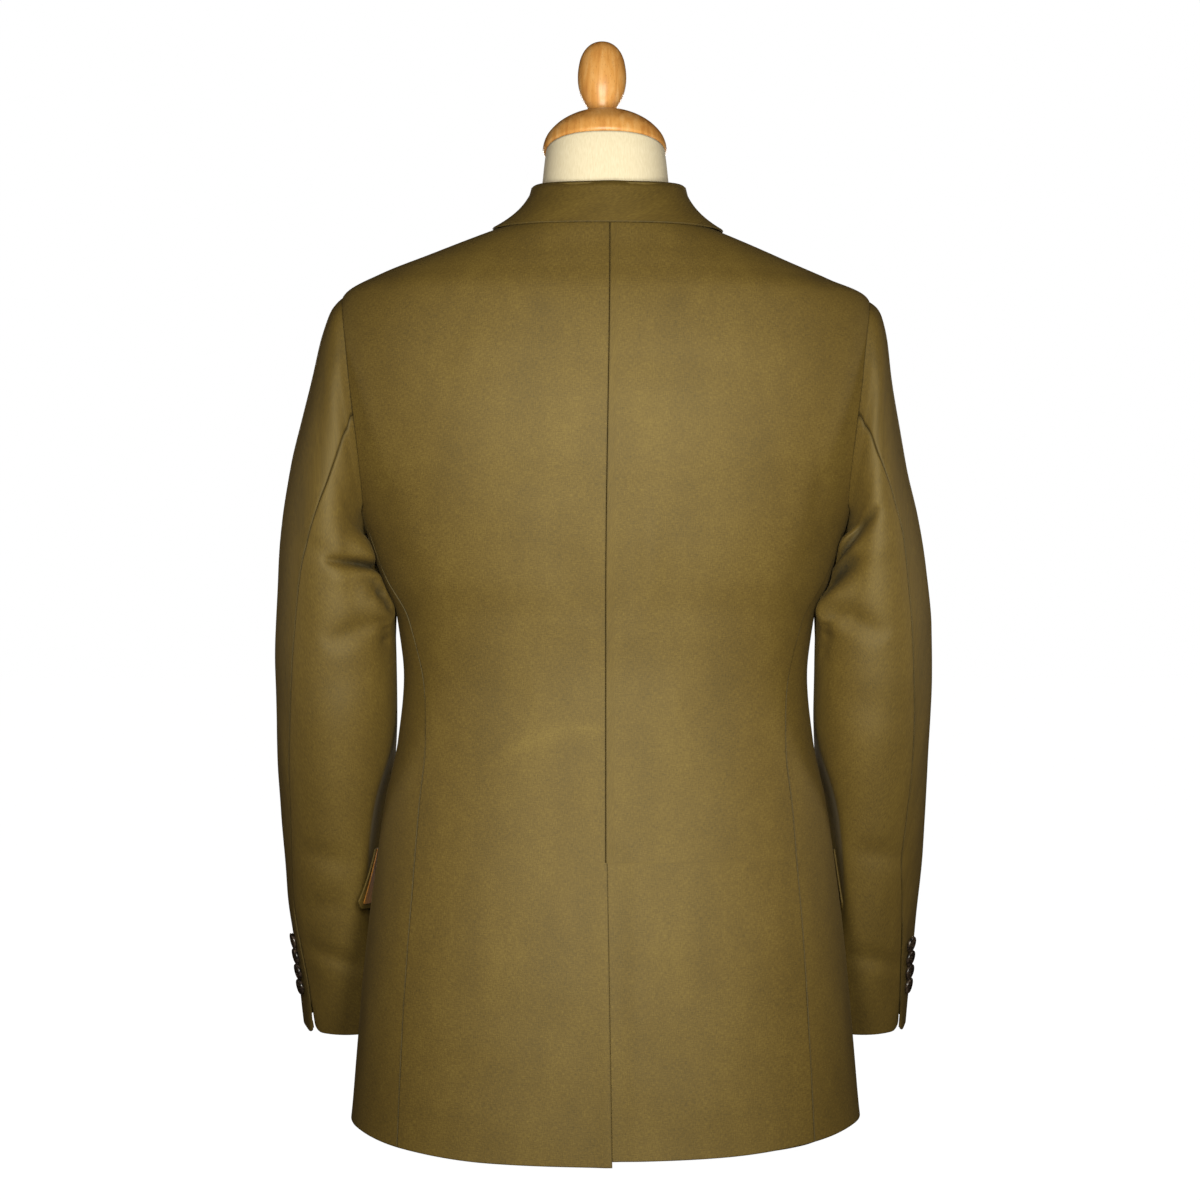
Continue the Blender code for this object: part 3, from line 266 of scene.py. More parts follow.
def waviness(across: Array, up: Array, seed: float) -> Array:
    """Slow unevenness between -1 and 1: four slanted sine waves of 60 to 170 mm added together.

    Args:
        across: The points' first coordinate on the unrolled surface.
        up: The points' second coordinate.
        seed: A number that turns and shifts the waves.

    Returns:
        The unevenness at each point.
    """
    total = np.zeros(np.broadcast(across, up).shape)
    for k, (length, turn) in enumerate(WAVES, 1):
        along = across * math.cos(turn + seed) + up * math.sin(turn + seed)
        total = total + np.sin(2 * math.pi * along / length + seed * k * WAVE_SHIFT) / len(WAVES)
    return total


# ---------------- the body surface
CLOTH = 1.8 * MM
SEAM_GAP = 0.30 * MM
EDGE_ROUND = 0.25  # share of the cloth's thickness over which its edge is rounded
EDGE_FLAT = 0.2  # square of the share of the thickness that is left at the very edge
EDGE_PAINTED_SHADE = 0.20  # painted shade along every cloth edge, which draws the dark line of a seam
EDGE_PAINTED_SHADE_WIDE = 0.9 * MM
HEM_LEVEL = 0.012
JOINT_LEVEL = 0.560  # where the side seams meet the armhole
ARMHOLE_BOTTOM = 0.541
TIP_LEVEL = 0.752  # shoulder tip
NECK_LEVEL = 0.9175


def depth(behind: Array, back_y: Array, side_y: Array, front_y: Array) -> Array:
    """How far a ring reaches from its side, to the back where behind and to the front elsewhere."""
    return np.where(behind, side_y - back_y, front_y - side_y)


@dataclass(frozen=True)
class BodySurface:
    """The jacket's shared surface: rings that rise from the hem, go over the shoulders and in to the
    neck. The angle runs from centre back over the side to centre front."""

    back_power: float = 2.35
    front_power: float = 2.2
    hem_fade: float = 0.10
    neck_shift: float = 3.6 * MM
    neck_shift_reach: float = 0.13
    neck_shift_rise: Pair = (0.48, 0.80)  # heights between which it sets in
    floor_power: float = 0.75  # under 1, the armhole's lower curve is flatter than a parabola
    rings: Table = Table((
        "level", "half_width", "back_y", "side_y", "front_y", "back_z", "side_z", "front_z"
    ), (
        (0.0120, 0.2228, -0.1510, -0.006, 0.1280, 0.0120, 0.0120, 0.0120),
        (0.1036, 0.2165, -0.1465, -0.006, 0.1280, 0.1036, 0.1036, 0.1036),
        (0.1916, 0.2086, -0.1380, -0.004, 0.1270, 0.1916, 0.1916, 0.1916),
        (0.2514, 0.2011, -0.1270, -0.002, 0.1240, 0.2514, 0.2514, 0.2514),
        (0.3060, 0.1936, -0.1150, 0.000, 0.1210, 0.3060, 0.3060, 0.3060),
        (0.3600, 0.1825, -0.1050, 0.002, 0.1180, 0.3600, 0.3600, 0.3600),
        (0.4116, 0.1778, -0.1005, 0.003, 0.1165, 0.4116, 0.4116, 0.4116),
        (0.4650, 0.1830, -0.1060, 0.003, 0.1195, 0.4650, 0.4650, 0.4650),
        (0.5000, 0.1975, -0.1125, 0.002, 0.1240, 0.5000, 0.5000, 0.5000),
        (0.5400, 0.2095, -0.1190, 0.000, 0.1295, 0.5400, 0.5400, 0.5400),
        (0.5750, 0.2200, -0.1230, -0.001, 0.1325, 0.5750, 0.5750, 0.5750),
        (0.6100, 0.2320, -0.1262, -0.002, 0.1340, 0.6100, 0.6100, 0.6080),
        (0.6500, 0.2400, -0.1270, -0.004, 0.1330, 0.6500, 0.6510, 0.6450),
        (0.6900, 0.2420, -0.1235, -0.006, 0.1270, 0.6900, 0.6930, 0.6800),
        (0.7200, 0.2385, -0.1185, -0.006, 0.1190, 0.7195, 0.7230, 0.7030),
        (0.7520, 0.2290, -0.1110, -0.006, 0.1080, 0.7480, 0.7485, 0.7260),
        (0.7860, 0.2000, -0.1020, -0.006, 0.0970, 0.7672, 0.7655, 0.7420),
        (0.8290, 0.1600, -0.0930, -0.007, 0.0850, 0.7850, 0.7808, 0.7560),
        (0.8720, 0.1200, -0.0850, -0.008, 0.0730, 0.8025, 0.7958, 0.7680),
        (0.9175, 0.0770, -0.0770, -0.009, 0.0600, 0.8175, 0.8105, 0.7780),
    ))
    hem_rise: Table = Table(("angle", "left", "right"), (
        (0, 0.0002, 0.0046), (25, 0.002, 0.0068), (48, 0.0085, 0.0132), (70, 0.0165, 0.02),
        (90, 0.019, 0.0215), (130, 0.015, 0.016), (180, 0.012, 0.012),
    ))
    shoulder_drop: Table = Table(("level", "left", "right"), (
        (0.65, 0.0, 0.0), (0.72, 0.0, 0.0012), (0.752, 0.0, 0.0032), (0.786, 0.0, 0.0066),
        (0.829, 0.0, 0.005), (0.872, 0.0, 0.0032), (0.9175, 0.0, 0.0015),
    ))
    seams: Table = Table(("level", "back_seam", "front_seam"), (
        (0.012, 48.7, 124), (0.2, 49.9, 121), (0.31, 51.7, 119), (0.4, 56.6, 118),
        (0.46, 63.6, 117), (0.52, 73.0, 116), (0.56, 77.5, 114),
    ))
    armhole: Table = Table(("level", "back_x", "front_x"), (
        (0.56, 0.2104, 0.2085), (0.585, 0.2112, 0.201), (0.612, 0.2135, 0.1965),
        (0.65, 0.218, 0.195), (0.69, 0.2228, 0.1985), (0.72, 0.2264, 0.208),
        (0.740, 0.2286, 0.2205),
    ))

    def ring_values(self, level: Array) -> list[Array]:
        """The ring table's columns at a level."""
        return [self.rings.at(name, level) for name in self.rings.columns[1:]]

    def rounded(self, angle: Array) -> tuple[Array, Array]:
        """Sine and cosine of a rounded square |s|^p + |c|^p = 1, flatter behind than in front.

        Args:
            angle: Radians from centre back.

        Returns:
            The sideways and the backwards share of the ring's size.
        """
        sine, cosine = np.sin(angle), np.cos(angle)
        power = np.where(cosine > 0, self.back_power, self.front_power)
        size = (np.abs(sine) ** power + np.abs(cosine) ** power) ** (1 / power)
        return sine / size, cosine / size

    def points(self, angle: Array, level: Array, hand: Hand) -> Array:
        """Points of the surface.

        Each ring is a rounded square from its half width and its depths behind and in front. Its
        height turns from the side's to the middle's with the square of the cosine. The hem's rise and
        the right shoulder's drop are added.

        Args:
            angle: Radians from centre back.
            level: Ring level in metres.
            hand: The side, which has its own hem rise and shoulder drop.

        Returns:
            Points with a last axis of three.
        """
        angle, level = np.broadcast_arrays(np.asarray(angle, float), np.asarray(level, float))
        half_width, back_y, side_y, front_y, back_z, side_z, front_z = self.ring_values(level)
        side, end = self.rounded(angle)
        behind = end > 0
        y = side_y - end * depth(behind, back_y, side_y, front_y)
        z = side_z + (np.where(behind, back_z, front_z) - side_z) * end**2
        rise = self.hem_rise.at(hand.word, np.degrees(np.abs(angle)))
        z = z + rise * np.clip(1 - (level - HEM_LEVEL) / self.hem_fade, 0, 1) ** 2
        z = z - self.shoulder_drop.at(hand.word, level) * np.sin(angle) ** 2
        return np.stack([half_width * side, y, z], axis=-1)

    def normals(self, angle: Array, level: Array, hand: Hand) -> Array:
        """Outward unit normals, from central differences along both parameters.

        Args:
            angle: Radians from centre back.
            level: Ring levels, in metres.
            hand: Which side.

        Returns:
            Normals with a last axis of three.
        """
        around = self.points(angle + NUDGE, level, hand) - self.points(angle - NUDGE, level, hand)
        low, high = np.maximum(level - NUDGE, HEM_LEVEL), np.minimum(level + NUDGE, NECK_LEVEL)
        return unit(np.cross(around, self.points(angle, high, hand) - self.points(angle, low, hand)))

    def patch(self, angle: Array, level: Array, hand: Hand) -> tuple[Array, Array]:
        """Points of the surface and its outward normals there."""
        return self.points(angle, level, hand), self.normals(angle, level, hand)

    def angle_at(self, x: Array, level: Array, front: bool = False) -> Array:
        """The angle at which a ring is x from the centre line, in closed form.

        Args:
            x: Distances from the centre line.
            level: Ring levels, in metres.
            front: Whether the front half of the ring is meant.

        Returns:
            Radians from centre back.
        """
        power = self.front_power if front else self.back_power
        side = np.clip(x / self.rings.at("half_width", level), -1, 1)
        end = (1 - np.abs(side) ** power) ** (1 / power)
        return np.arctan2(side, -end if front else end)

    def seam_angle(self, name: str, level: Array) -> Array:
        """A side seam's angle at a level."""
        return np.radians(self.seams.at(name, level))

    def armhole_angle(self, level: Array, front: bool) -> Array:
        """The armhole edge's angle. It closes on the shoulder tip with a square root.

        Args:
            level: Ring levels, in metres.
            front: Whether the front's edge is meant, not the back's.

        Returns:
            Radians from centre back.
        """
        top = self.armhole.rows[-1][0]
        x = self.armhole.at("front_x" if front else "back_x", level)
        angle = self.angle_at(x, np.minimum(level, top), front)
        shut = np.sqrt(np.clip((TIP_LEVEL - level) / (TIP_LEVEL - top), 0, 1))
        return math.pi / 2 + (angle - math.pi / 2) * np.where(level > top, shut, 1)

    def armhole_floor(self, angle: Array) -> Array:
        """The level of the armhole's lower curve, a flattened parabola between the side seams.

        Args:
            angle: Radians from centre back.

        Returns:
            The level at each angle.
        """
        start, stop = (self.seam_angle(name, JOINT_LEVEL) for name in ("back_seam", "front_seam"))
        share = np.clip((angle - start) / (stop - start), 0, 1)
        return JOINT_LEVEL - (JOINT_LEVEL - ARMHOLE_BOTTOM) * (4 * share * (1 - share)) ** self.floor_power

    def outer_edge(self, level: Array, front: bool) -> Array:
        """The outer edge of a back or a front: side seam, armhole, then the shoulder's ridge.

        Args:
            level: Ring levels, in metres.
            front: Whether the front's edge is meant, not the back's.

        Returns:
            Radians from centre back.
        """
        arm = self.armhole_angle(np.clip(level, JOINT_LEVEL, TIP_LEVEL), front)
        seam = self.seam_angle("front_seam" if front else "back_seam", level)
        above = np.where(level < TIP_LEVEL, arm, math.pi / 2)
        return np.where(level <= JOINT_LEVEL, seam, above)

    def in_gap(self, angle: Array, level: Array, hand: Hand, gap: float) -> Array:
        """An angle moved so that its point is gap away along the ring."""
        step = self.points(angle + NUDGE, level, hand) - self.points(angle - NUDGE, level, hand)
        return angle + gap * 2 * NUDGE / np.linalg.norm(step, axis=-1)

    def settle(self, points: Array) -> Array:
        """Moves the neck's region sideways: the jacket hangs a little to the right at the neck.

        Args:
            points: Points of a piece.

        Returns:
            The moved points.
        """
        reach = np.exp(-((points[..., 0] / self.neck_shift_reach) ** 2))[..., None]
        rise = ease(points[..., 2:], *self.neck_shift_rise)
        return points + self.neck_shift * rise * reach * np.array((1, 0, 0))

    def half_width_at(self, y: Array, z: Array) -> Array:
        """The body's half width beside a sleeve, at depths and heights.

        Args:
            y: Depths.
            z: Heights, which are ring levels here.

        Returns:
            Distances from the centre line.
        """
        half_width, back_y, side_y, front_y = self.ring_values(z)[:4]
        power = np.where(y < side_y, self.back_power, self.front_power)
        share = np.clip(np.abs(y - side_y) / depth(y < side_y, back_y, side_y, front_y), 0, 0.995)
        return half_width * (1 - share**power) ** (1 / power)


BODY = BodySurface()


# ---------------- meshes from arrays
def make_object(name: str, points: Array, faces: list, uv: Array | None = None) -> Object:
    """A smooth object at the origin, with its faces turned outwards by the sign of its volume.

    Args:
        name: The node's name, to which the ending for shown pieces is added.
        points: Vertices, in metres.
        faces: Lists of vertex numbers.
        uv: Optional cloth coordinates in metres, one pair for each vertex.

    Returns:
        The linked object.
    """
    fans = [(face[0], face[k], face[k + 1]) for face in faces for k in range(1, len(face) - 1)]
    a, b, c = (points[np.array(fans)[:, i]] for i in range(3))
    if (a * np.cross(b, c)).sum() < 0:
        faces = [tuple(reversed(face)) for face in faces]
    mesh = bpy.data.meshes.new(name)
    mesh.from_pydata(points.tolist(), [], faces)
    mesh.update()
    if uv is not None:
        layer = mesh.uv_layers.new(name="cloth")
        corner = np.empty(len(mesh.loops), int)
        mesh.loops.foreach_get("vertex_index", corner)
        layer.data.foreach_set("uv", uv[corner].ravel())
    mesh.shade_smooth()
    made = bpy.data.objects.new(name + SHOWN, mesh)
    bpy.context.scene.collection.objects.link(made)
    return made


def wall_faces(rows: int, columns: int) -> list:
    """Quads of a closed wall: its outer grid, its inner grid and the rim round both.

    Args:
        rows: The grid's rows.
        columns: The grid's columns.

    Returns:
        Lists of four vertex numbers, the inner grid's after the outer grid's.
    """
    index = np.arange(rows * columns).reshape(rows, columns)
    a, b, c, d = index[:-1, :-1], index[:-1, 1:], index[1:, 1:], index[1:, :-1]
    outer = np.stack([a, b, c, d], axis=-1).reshape(-1, 4)
    inner = outer[:, ::-1] + rows * columns
    edge = np.concatenate([index[0, :-1], index[:-1, -1], index[-1, :0:-1], index[:0:-1, 0]])
    after = np.roll(edge, -1)
    rim = np.stack([after, edge, edge + rows * columns, after + rows * columns], axis=-1)
    return np.concatenate([outer, inner, rim]).tolist()


def shell(
    name: str, surface: Array, facing: Array, thick: float, hand: Hand, settled: bool = True,
    shade: Array | float = 0.0, edge_painted_shade: float = EDGE_PAINTED_SHADE,
) -> Object:
    """A closed cloth wall under a grid of points, with edges rounded like folded cloth.

    The wall's middle lies half its thickness under the surface. Its half thickness follows a quarter
    circle within a quarter of a thickness of each edge, so that two edges that meet make a seam's groove.
    The tone of the nap and of painted shade is stored with each point: minus the shade, and minus the
    edge's painted shade times exp(-(distance from the edge / its width)^2), which paints a seam's dark
    line.

    Args:
        name: The piece's name.
        surface: The outer grid for the right side.
        facing: Directions that say which side is outside.
        thick: The cloth's thickness.
        hand: Which side the piece is on.
        settled: Whether the piece takes part in the neck's shift.
        shade: How much darker the cloth is, for its material: the nap's own tone, and painted shade.
        edge_painted_shade: How much painted shade darkens it within a millimetre of an edge.

    Returns:
        The linked object.
    """
    normal = grid_normals(surface)
    normal = normal * np.where(dot(normal, facing) < 0, -1, 1)
    across, up = lengths(surface, 1), lengths(surface, 0)
    to_edge = np.minimum.reduce([across, across[:, -1:] - across, up, up[-1:] - up])
    share = np.clip(to_edge / (thick * EDGE_ROUND), 0, 1)
    half = (thick / 2) * np.sqrt(np.maximum(1 - (1 - share) ** 2, EDGE_FLAT))[..., None]
    middle = surface - normal * thick / 2
    points = np.stack([middle + normal * half, middle - normal * half]).reshape(-1, 3)
    points = points * np.array([hand.value, 1, 1])
    points = BODY.settle(points) if settled else points
    uv = np.stack([across, up], axis=-1).reshape(-1, 2)
    made = make_object(name, points, wall_faces(*surface.shape[:2]), np.concatenate([uv, uv]))
    # painted shade: the tone is darkened along every edge, and by the painted shade that is passed in
    tone = -shade - edge_painted_shade * np.exp(-((to_edge / EDGE_PAINTED_SHADE_WIDE) ** 2))
    layer = made.data.attributes.new("nap", "FLOAT", "POINT")
    layer.data.foreach_set("value", np.stack([tone, tone]).ravel())
    return made


@dataclass(frozen=True)
class Cut:
    """A cloth piece's flat pattern as far as it shows: its width, length and area."""

    width: float
    length: float
    area: float


def declare(
    piece: Object, material: Material
) -> None:
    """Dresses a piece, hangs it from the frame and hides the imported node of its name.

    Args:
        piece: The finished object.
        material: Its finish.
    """
    piece.data.materials.append(material)
    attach(piece, ROOT)
    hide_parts(piece.name.removesuffix(SHOWN))
    LOG.info("%s: %d faces", piece.name, len(piece.data.polygons))


# ---------------- finishes
def linear(hex_colour: str) -> tuple[float, float, float, float]:
    """An sRGB hex colour as linear numbers."""
    parts = [int(hex_colour[i : i + 2], 16) / 255 for i in (1, 3, 5)]
    return (*[p / 12.92 if p <= 0.04045 else ((p + 0.055) / 1.055) ** 2.4 for p in parts], 1.0)


def plug(tree: Tree, node: bpy.types.Node, inputs: dict) -> None:
    """Links a node's inputs, or gives them their values.

    Args:
        tree: The material's or world's tree.
        node: The node.
        inputs: Socket names or numbers, each with a value or with an output socket to link.
    """
    for key, value in inputs.items():
        if isinstance(value, Socket):
            tree.links.new(value, node.inputs[key])
        else:
            node.inputs[key].default_value = value


def add(
    tree: Tree, kind: str, inputs: dict, output: str | int = 0,
    stops: Stops = (), **settings: object,
) -> Socket:
    """Adds a node.

    Args:
        tree: The material's or world's tree.
        kind: The node's type name.
        inputs: What plug takes.
        output: The output that is wanted.
        stops: Places and hex colours, for a node with a colour ramp.
        settings: The node's own properties.

    Returns:
        The output's socket.
    """
    node = tree.nodes.new(kind)
    for name, value in settings.items():
        setattr(node, name, value)
    while stops and len(node.color_ramp.elements) < len(stops):
        node.color_ramp.elements.new(0.5)
    for k, (place, colour) in enumerate(stops):
        node.color_ramp.elements[k].position = place
        node.color_ramp.elements[k].color = linear(colour)
    plug(tree, node, inputs)
    return node.outputs[output]


def cells(
    tree: Tree, place: Socket, size: Sizes, detail: float,
    swirl: float = 0.0,
) -> Socket:
    """A soft pattern with cells of a real size: noise on coordinates divided by that size.

    Args:
        tree: The material's tree.
        place: Coordinates in metres.
        size: A cell's size along each coordinate, in millimetres.
        detail: How many finer layers it has.
        swirl: How much it is distorted.

    Returns:
        The pattern, from 0 to 1.
    """
    scale = tuple(1000 / length for length in size)
    scaled = add(tree, "ShaderNodeMapping", {"Vector": place, "Scale": scale})
    return add(
        tree, "ShaderNodeTexNoise", {"Vector": scaled, "Scale": 1.0, "Detail": detail, "Distortion": swirl}
    )


def blank(name: str) -> tuple[Material, Tree, bpy.types.Node]:
    """A material.

    Args:
        name: What the finish really is.

    Returns:
        The material, its tree and its Principled shader.
    """
    made = bpy.data.materials.new(name)
    made.use_nodes = True
    return made, made.node_tree, made.node_tree.nodes["Principled BSDF"]


@dataclass(frozen=True)
class Moleskin:
    """Cotton moleskin: a dense sateen, brushed to a short nap. It looks matt, with a slow mottle where
    the nap lies different ways, fine flecks along both threads, and a broad soft sheen where it faces
    the light."""

    stops: Stops = (
        (0.10, "#150f04"),  # painted shade inside the sharpest folds
        (0.42, "#46360f"),
        (0.63, "#5e4916"),
        (0.84, "#735e24"),
    )
    # Each pattern's cell in millimetres, its detail and its weight in the tone. The flecks are drawn
    # coarser than the real 0.4 mm threads, which are too fine to show.
    flecks: Rows = ((3.4, 0.95, 2.0, 0.42), (0.95, 3.4, 2.0, 0.42))
    patches: Rows = ((14.0, 14.0, 3.0, 0.14), (42.0, 110.0, 3.0, 0.28))
    nap_height: float = 0.25 * MM

    def build(self) -> Material:
        """The material, with its mottle, flecks and a shallow nap bump on the cloth's own map.

        A piece's own attribute of nap and painted shade shifts the tone: up where the nap is brushed back,
        down with painted shade in folds and along edges, and on the darker top sleeve.

        Returns:
            The material.
        """
        made, tree, shader = blank("cotton_moleskin")
        place = add(tree, "ShaderNodeUVMap", {}, uv_map="cloth")
        # the attribute holds the nap's own tone and painted shade from folds and edges
        total = add(tree, "ShaderNodeAttribute", {}, "Fac", attribute_name="nap")
        tones = []
        for wide, tall, detail, weight in (*self.flecks, *self.patches):
            tones.append(cells(tree, place, (wide, tall, 1000), detail))
            parts = {0: tones[-1], 1: weight, 2: total}
            total = add(tree, "ShaderNodeMath", parts, operation="MULTIPLY_ADD")
        height = add(tree, "ShaderNodeMath", {0: tones[0], 1: tones[1]}, operation="ADD")
        bump = {"Height": height, "Strength": 0.30, "Distance": self.nap_height}
        plug(tree, shader, {
            "Base Color": add(tree, "ShaderNodeValToRGB", {"Fac": total}, stops=self.stops),
            "Normal": add(tree, "ShaderNodeBump", bump),
            "Roughness": 0.70,
            "Specular IOR Level": 0.90,
            "Specular Tint": linear("#fff2c8"),
            "Sheen Weight": 0.03,
            "Sheen Roughness": 0.45,
            "Sheen Tint": linear("#c9b684"),
        })
        return made


@dataclass(frozen=True)
class Satin:
    """Viscose satin lining: smooth floats that give a soft golden shine."""

    stops: Stops = ((0.3, "#8a5212"), (0.7, "#c98628"))
    thread: Sizes = (0.9, 12, 1000)  # a float's width and length

    def build(self) -> Material:
        """The material, with fine threads along the cloth's map.

        Returns:
            The material.
        """
        made, tree, shader = blank("viscose_satin")
        tone = cells(tree, add(tree, "ShaderNodeUVMap", {}, uv_map="cloth"), self.thread, 2.0)
        colour = add(tree, "ShaderNodeValToRGB", {"Fac": tone}, stops=self.stops)
        plug(tree, shader, {"Base Color": colour, "Roughness": 0.38, "Sheen Weight": 0.15})
        return made


@dataclass(frozen=True)
class Jersey:
    """Cotton jersey stretched over the form: a matt ecru with fine upright wales."""

    stops: Stops = ((0.25, "#e2d2b0"), (0.75, "#f0e2c4"))
    wale: Sizes = (1.0, 1.0, 9.0)
    wale_height: float = 0.3 * MM

    def build(self) -> Material:
        """The material, with its wales on Object coordinates.

        Returns:
            The material.
        """
        made, tree, shader = blank("cotton_jersey")
        wales = cells(tree, add(tree, "ShaderNodeTexCoord", {}, "Object"), self.wale, 2.0)
        bump = {"Height": wales, "Strength": 0.25, "Distance": self.wale_height}
        plug(tree, shader, {
            "Base Color": add(tree, "ShaderNodeValToRGB", {"Fac": wales}, stops=self.stops),
            "Normal": add(tree, "ShaderNodeBump", bump),
            "Roughness": 0.9,
            "Sheen Weight": 0.1,
        })
        return made


@dataclass(frozen=True)
class Beech:
    """Steamed beech, turned and varnished: honey coloured, with close grain, short darker ray flecks
    and one small knot, under a clear gloss coat."""

    stops: Stops = ((0.28, "#cc8740"), (0.5, "#e6a456"), (0.72, "#f2ba74"))
    fleck: str = "#a9662a"
    grain_size: Sizes = (5.0, 16.0, 42.0)
    fleck_size: Sizes = (0.9, 0.9, 3.2)
    knot_at: Triple = (0.0062, -0.012, 0.962)
    knot_reach: Pair = (1.0 * MM, 3.2 * MM)  # its core and where it ends

    def build(self) -> Material:
        """The material: long grain, short flecks and the knot, all on Object coordinates.

        Returns:
            The material.
        """
        made, tree, shader = blank("varnished_beech")
        place = add(tree, "ShaderNodeTexCoord", {}, "Object")
        grain = cells(tree, place, self.grain_size, 5.0, 0.6)
        colour = add(tree, "ShaderNodeValToRGB", {"Fac": grain}, stops=self.stops)
        fleck = cells(tree, place, self.fleck_size, 1.0)
        away = add(tree, "ShaderNodeVectorMath", {0: place, 1: self.knot_at}, "Value", operation="DISTANCE")
        core, end = self.knot_reach
        for marks in (
            {"Value": fleck, "From Min": 0.62, "From Max": 0.74, "To Max": 0.5},
            {"Value": away, "From Min": core, "From Max": end, "To Min": 0.55, "To Max": 0.0},
        ):
            share = add(tree, "ShaderNodeMapRange", marks)
            blend = {0: share, 6: colour, 7: linear(self.fleck)}
            colour = add(tree, "ShaderNodeMix", blend, 2, data_type="RGBA")
        plug(tree, shader, {
            "Base Color": colour, "Roughness": 0.45, "Coat Weight": 0.30, "Coat Roughness": 0.30,
        })
        return made


@dataclass(frozen=True)
class Horn:
    """Polished dark horn: brown-black with cloudy grey-brown streaks."""

    stops: Stops = ((0.42, "#171210"), (0.72, "#5a4a3d"))
    streak: Sizes = (7.0, 7.0, 7.0)

    def build(self) -> Material:
        """The material: swirled streaks on Object coordinates.

        Returns:
            The material.
        """
        made, tree, shader = blank("polished_horn")
        streaks = cells(tree, add(tree, "ShaderNodeTexCoord", {}, "Object"), self.streak, 3.0, 1.6)
        colour = add(tree, "ShaderNodeValToRGB", {"Fac": streaks}, stops=self.stops)
        plug(tree, shader, {
            "Base Color": colour, "Roughness": 0.28, "Coat Weight": 0.3, "Coat Roughness": 0.12,
        })
        return made


@dataclass(frozen=True)
class SewingThread:
    """Spun polyester thread in the cloth's dark shade, slightly glossy."""

    stops: Stops = ((0.3, "#2a2010"), (0.7, "#3d3018"))
    twist: Sizes = (0.6, 0.6, 0.6)

    def build(self) -> Material:
        """The material, with a fine twist in its tone.

        Returns:
            The material.
        """
        made, tree, shader = blank("polyester_thread")
        twist = cells(tree, add(tree, "ShaderNodeTexCoord", {}, "Object"), self.twist, 2.0)
        colour = add(tree, "ShaderNodeValToRGB", {"Fac": twist}, stops=self.stops)
        plug(tree, shader, {"Base Color": colour, "Roughness": 0.6})
        return made


# ---------------- body panels
PANEL_STEP = 3.4 * MM  # between a panel's columns
ROW_STEP = 3.6 * MM  # between its rows
VENT_TOP = 0.262
ARM_ROWS = (0.585, 0.612, 0.640, 0.670, 0.700, 0.722, 0.738)
TIP_ROWS = tuple(
    TIP_LEVEL - (TIP_LEVEL - ARM_ROWS[-1]) * share**2 for share in (0.86, 0.72, 0.58, 0.44, 0.30, 0.16)
)
HEM_ROWS = tuple(HEM_LEVEL + line for line in EDGE_LINES)
YOKE_ROWS = (0.786, 0.829, 0.872, *(NECK_LEVEL - line for line in EDGE_LINES[::-1]))


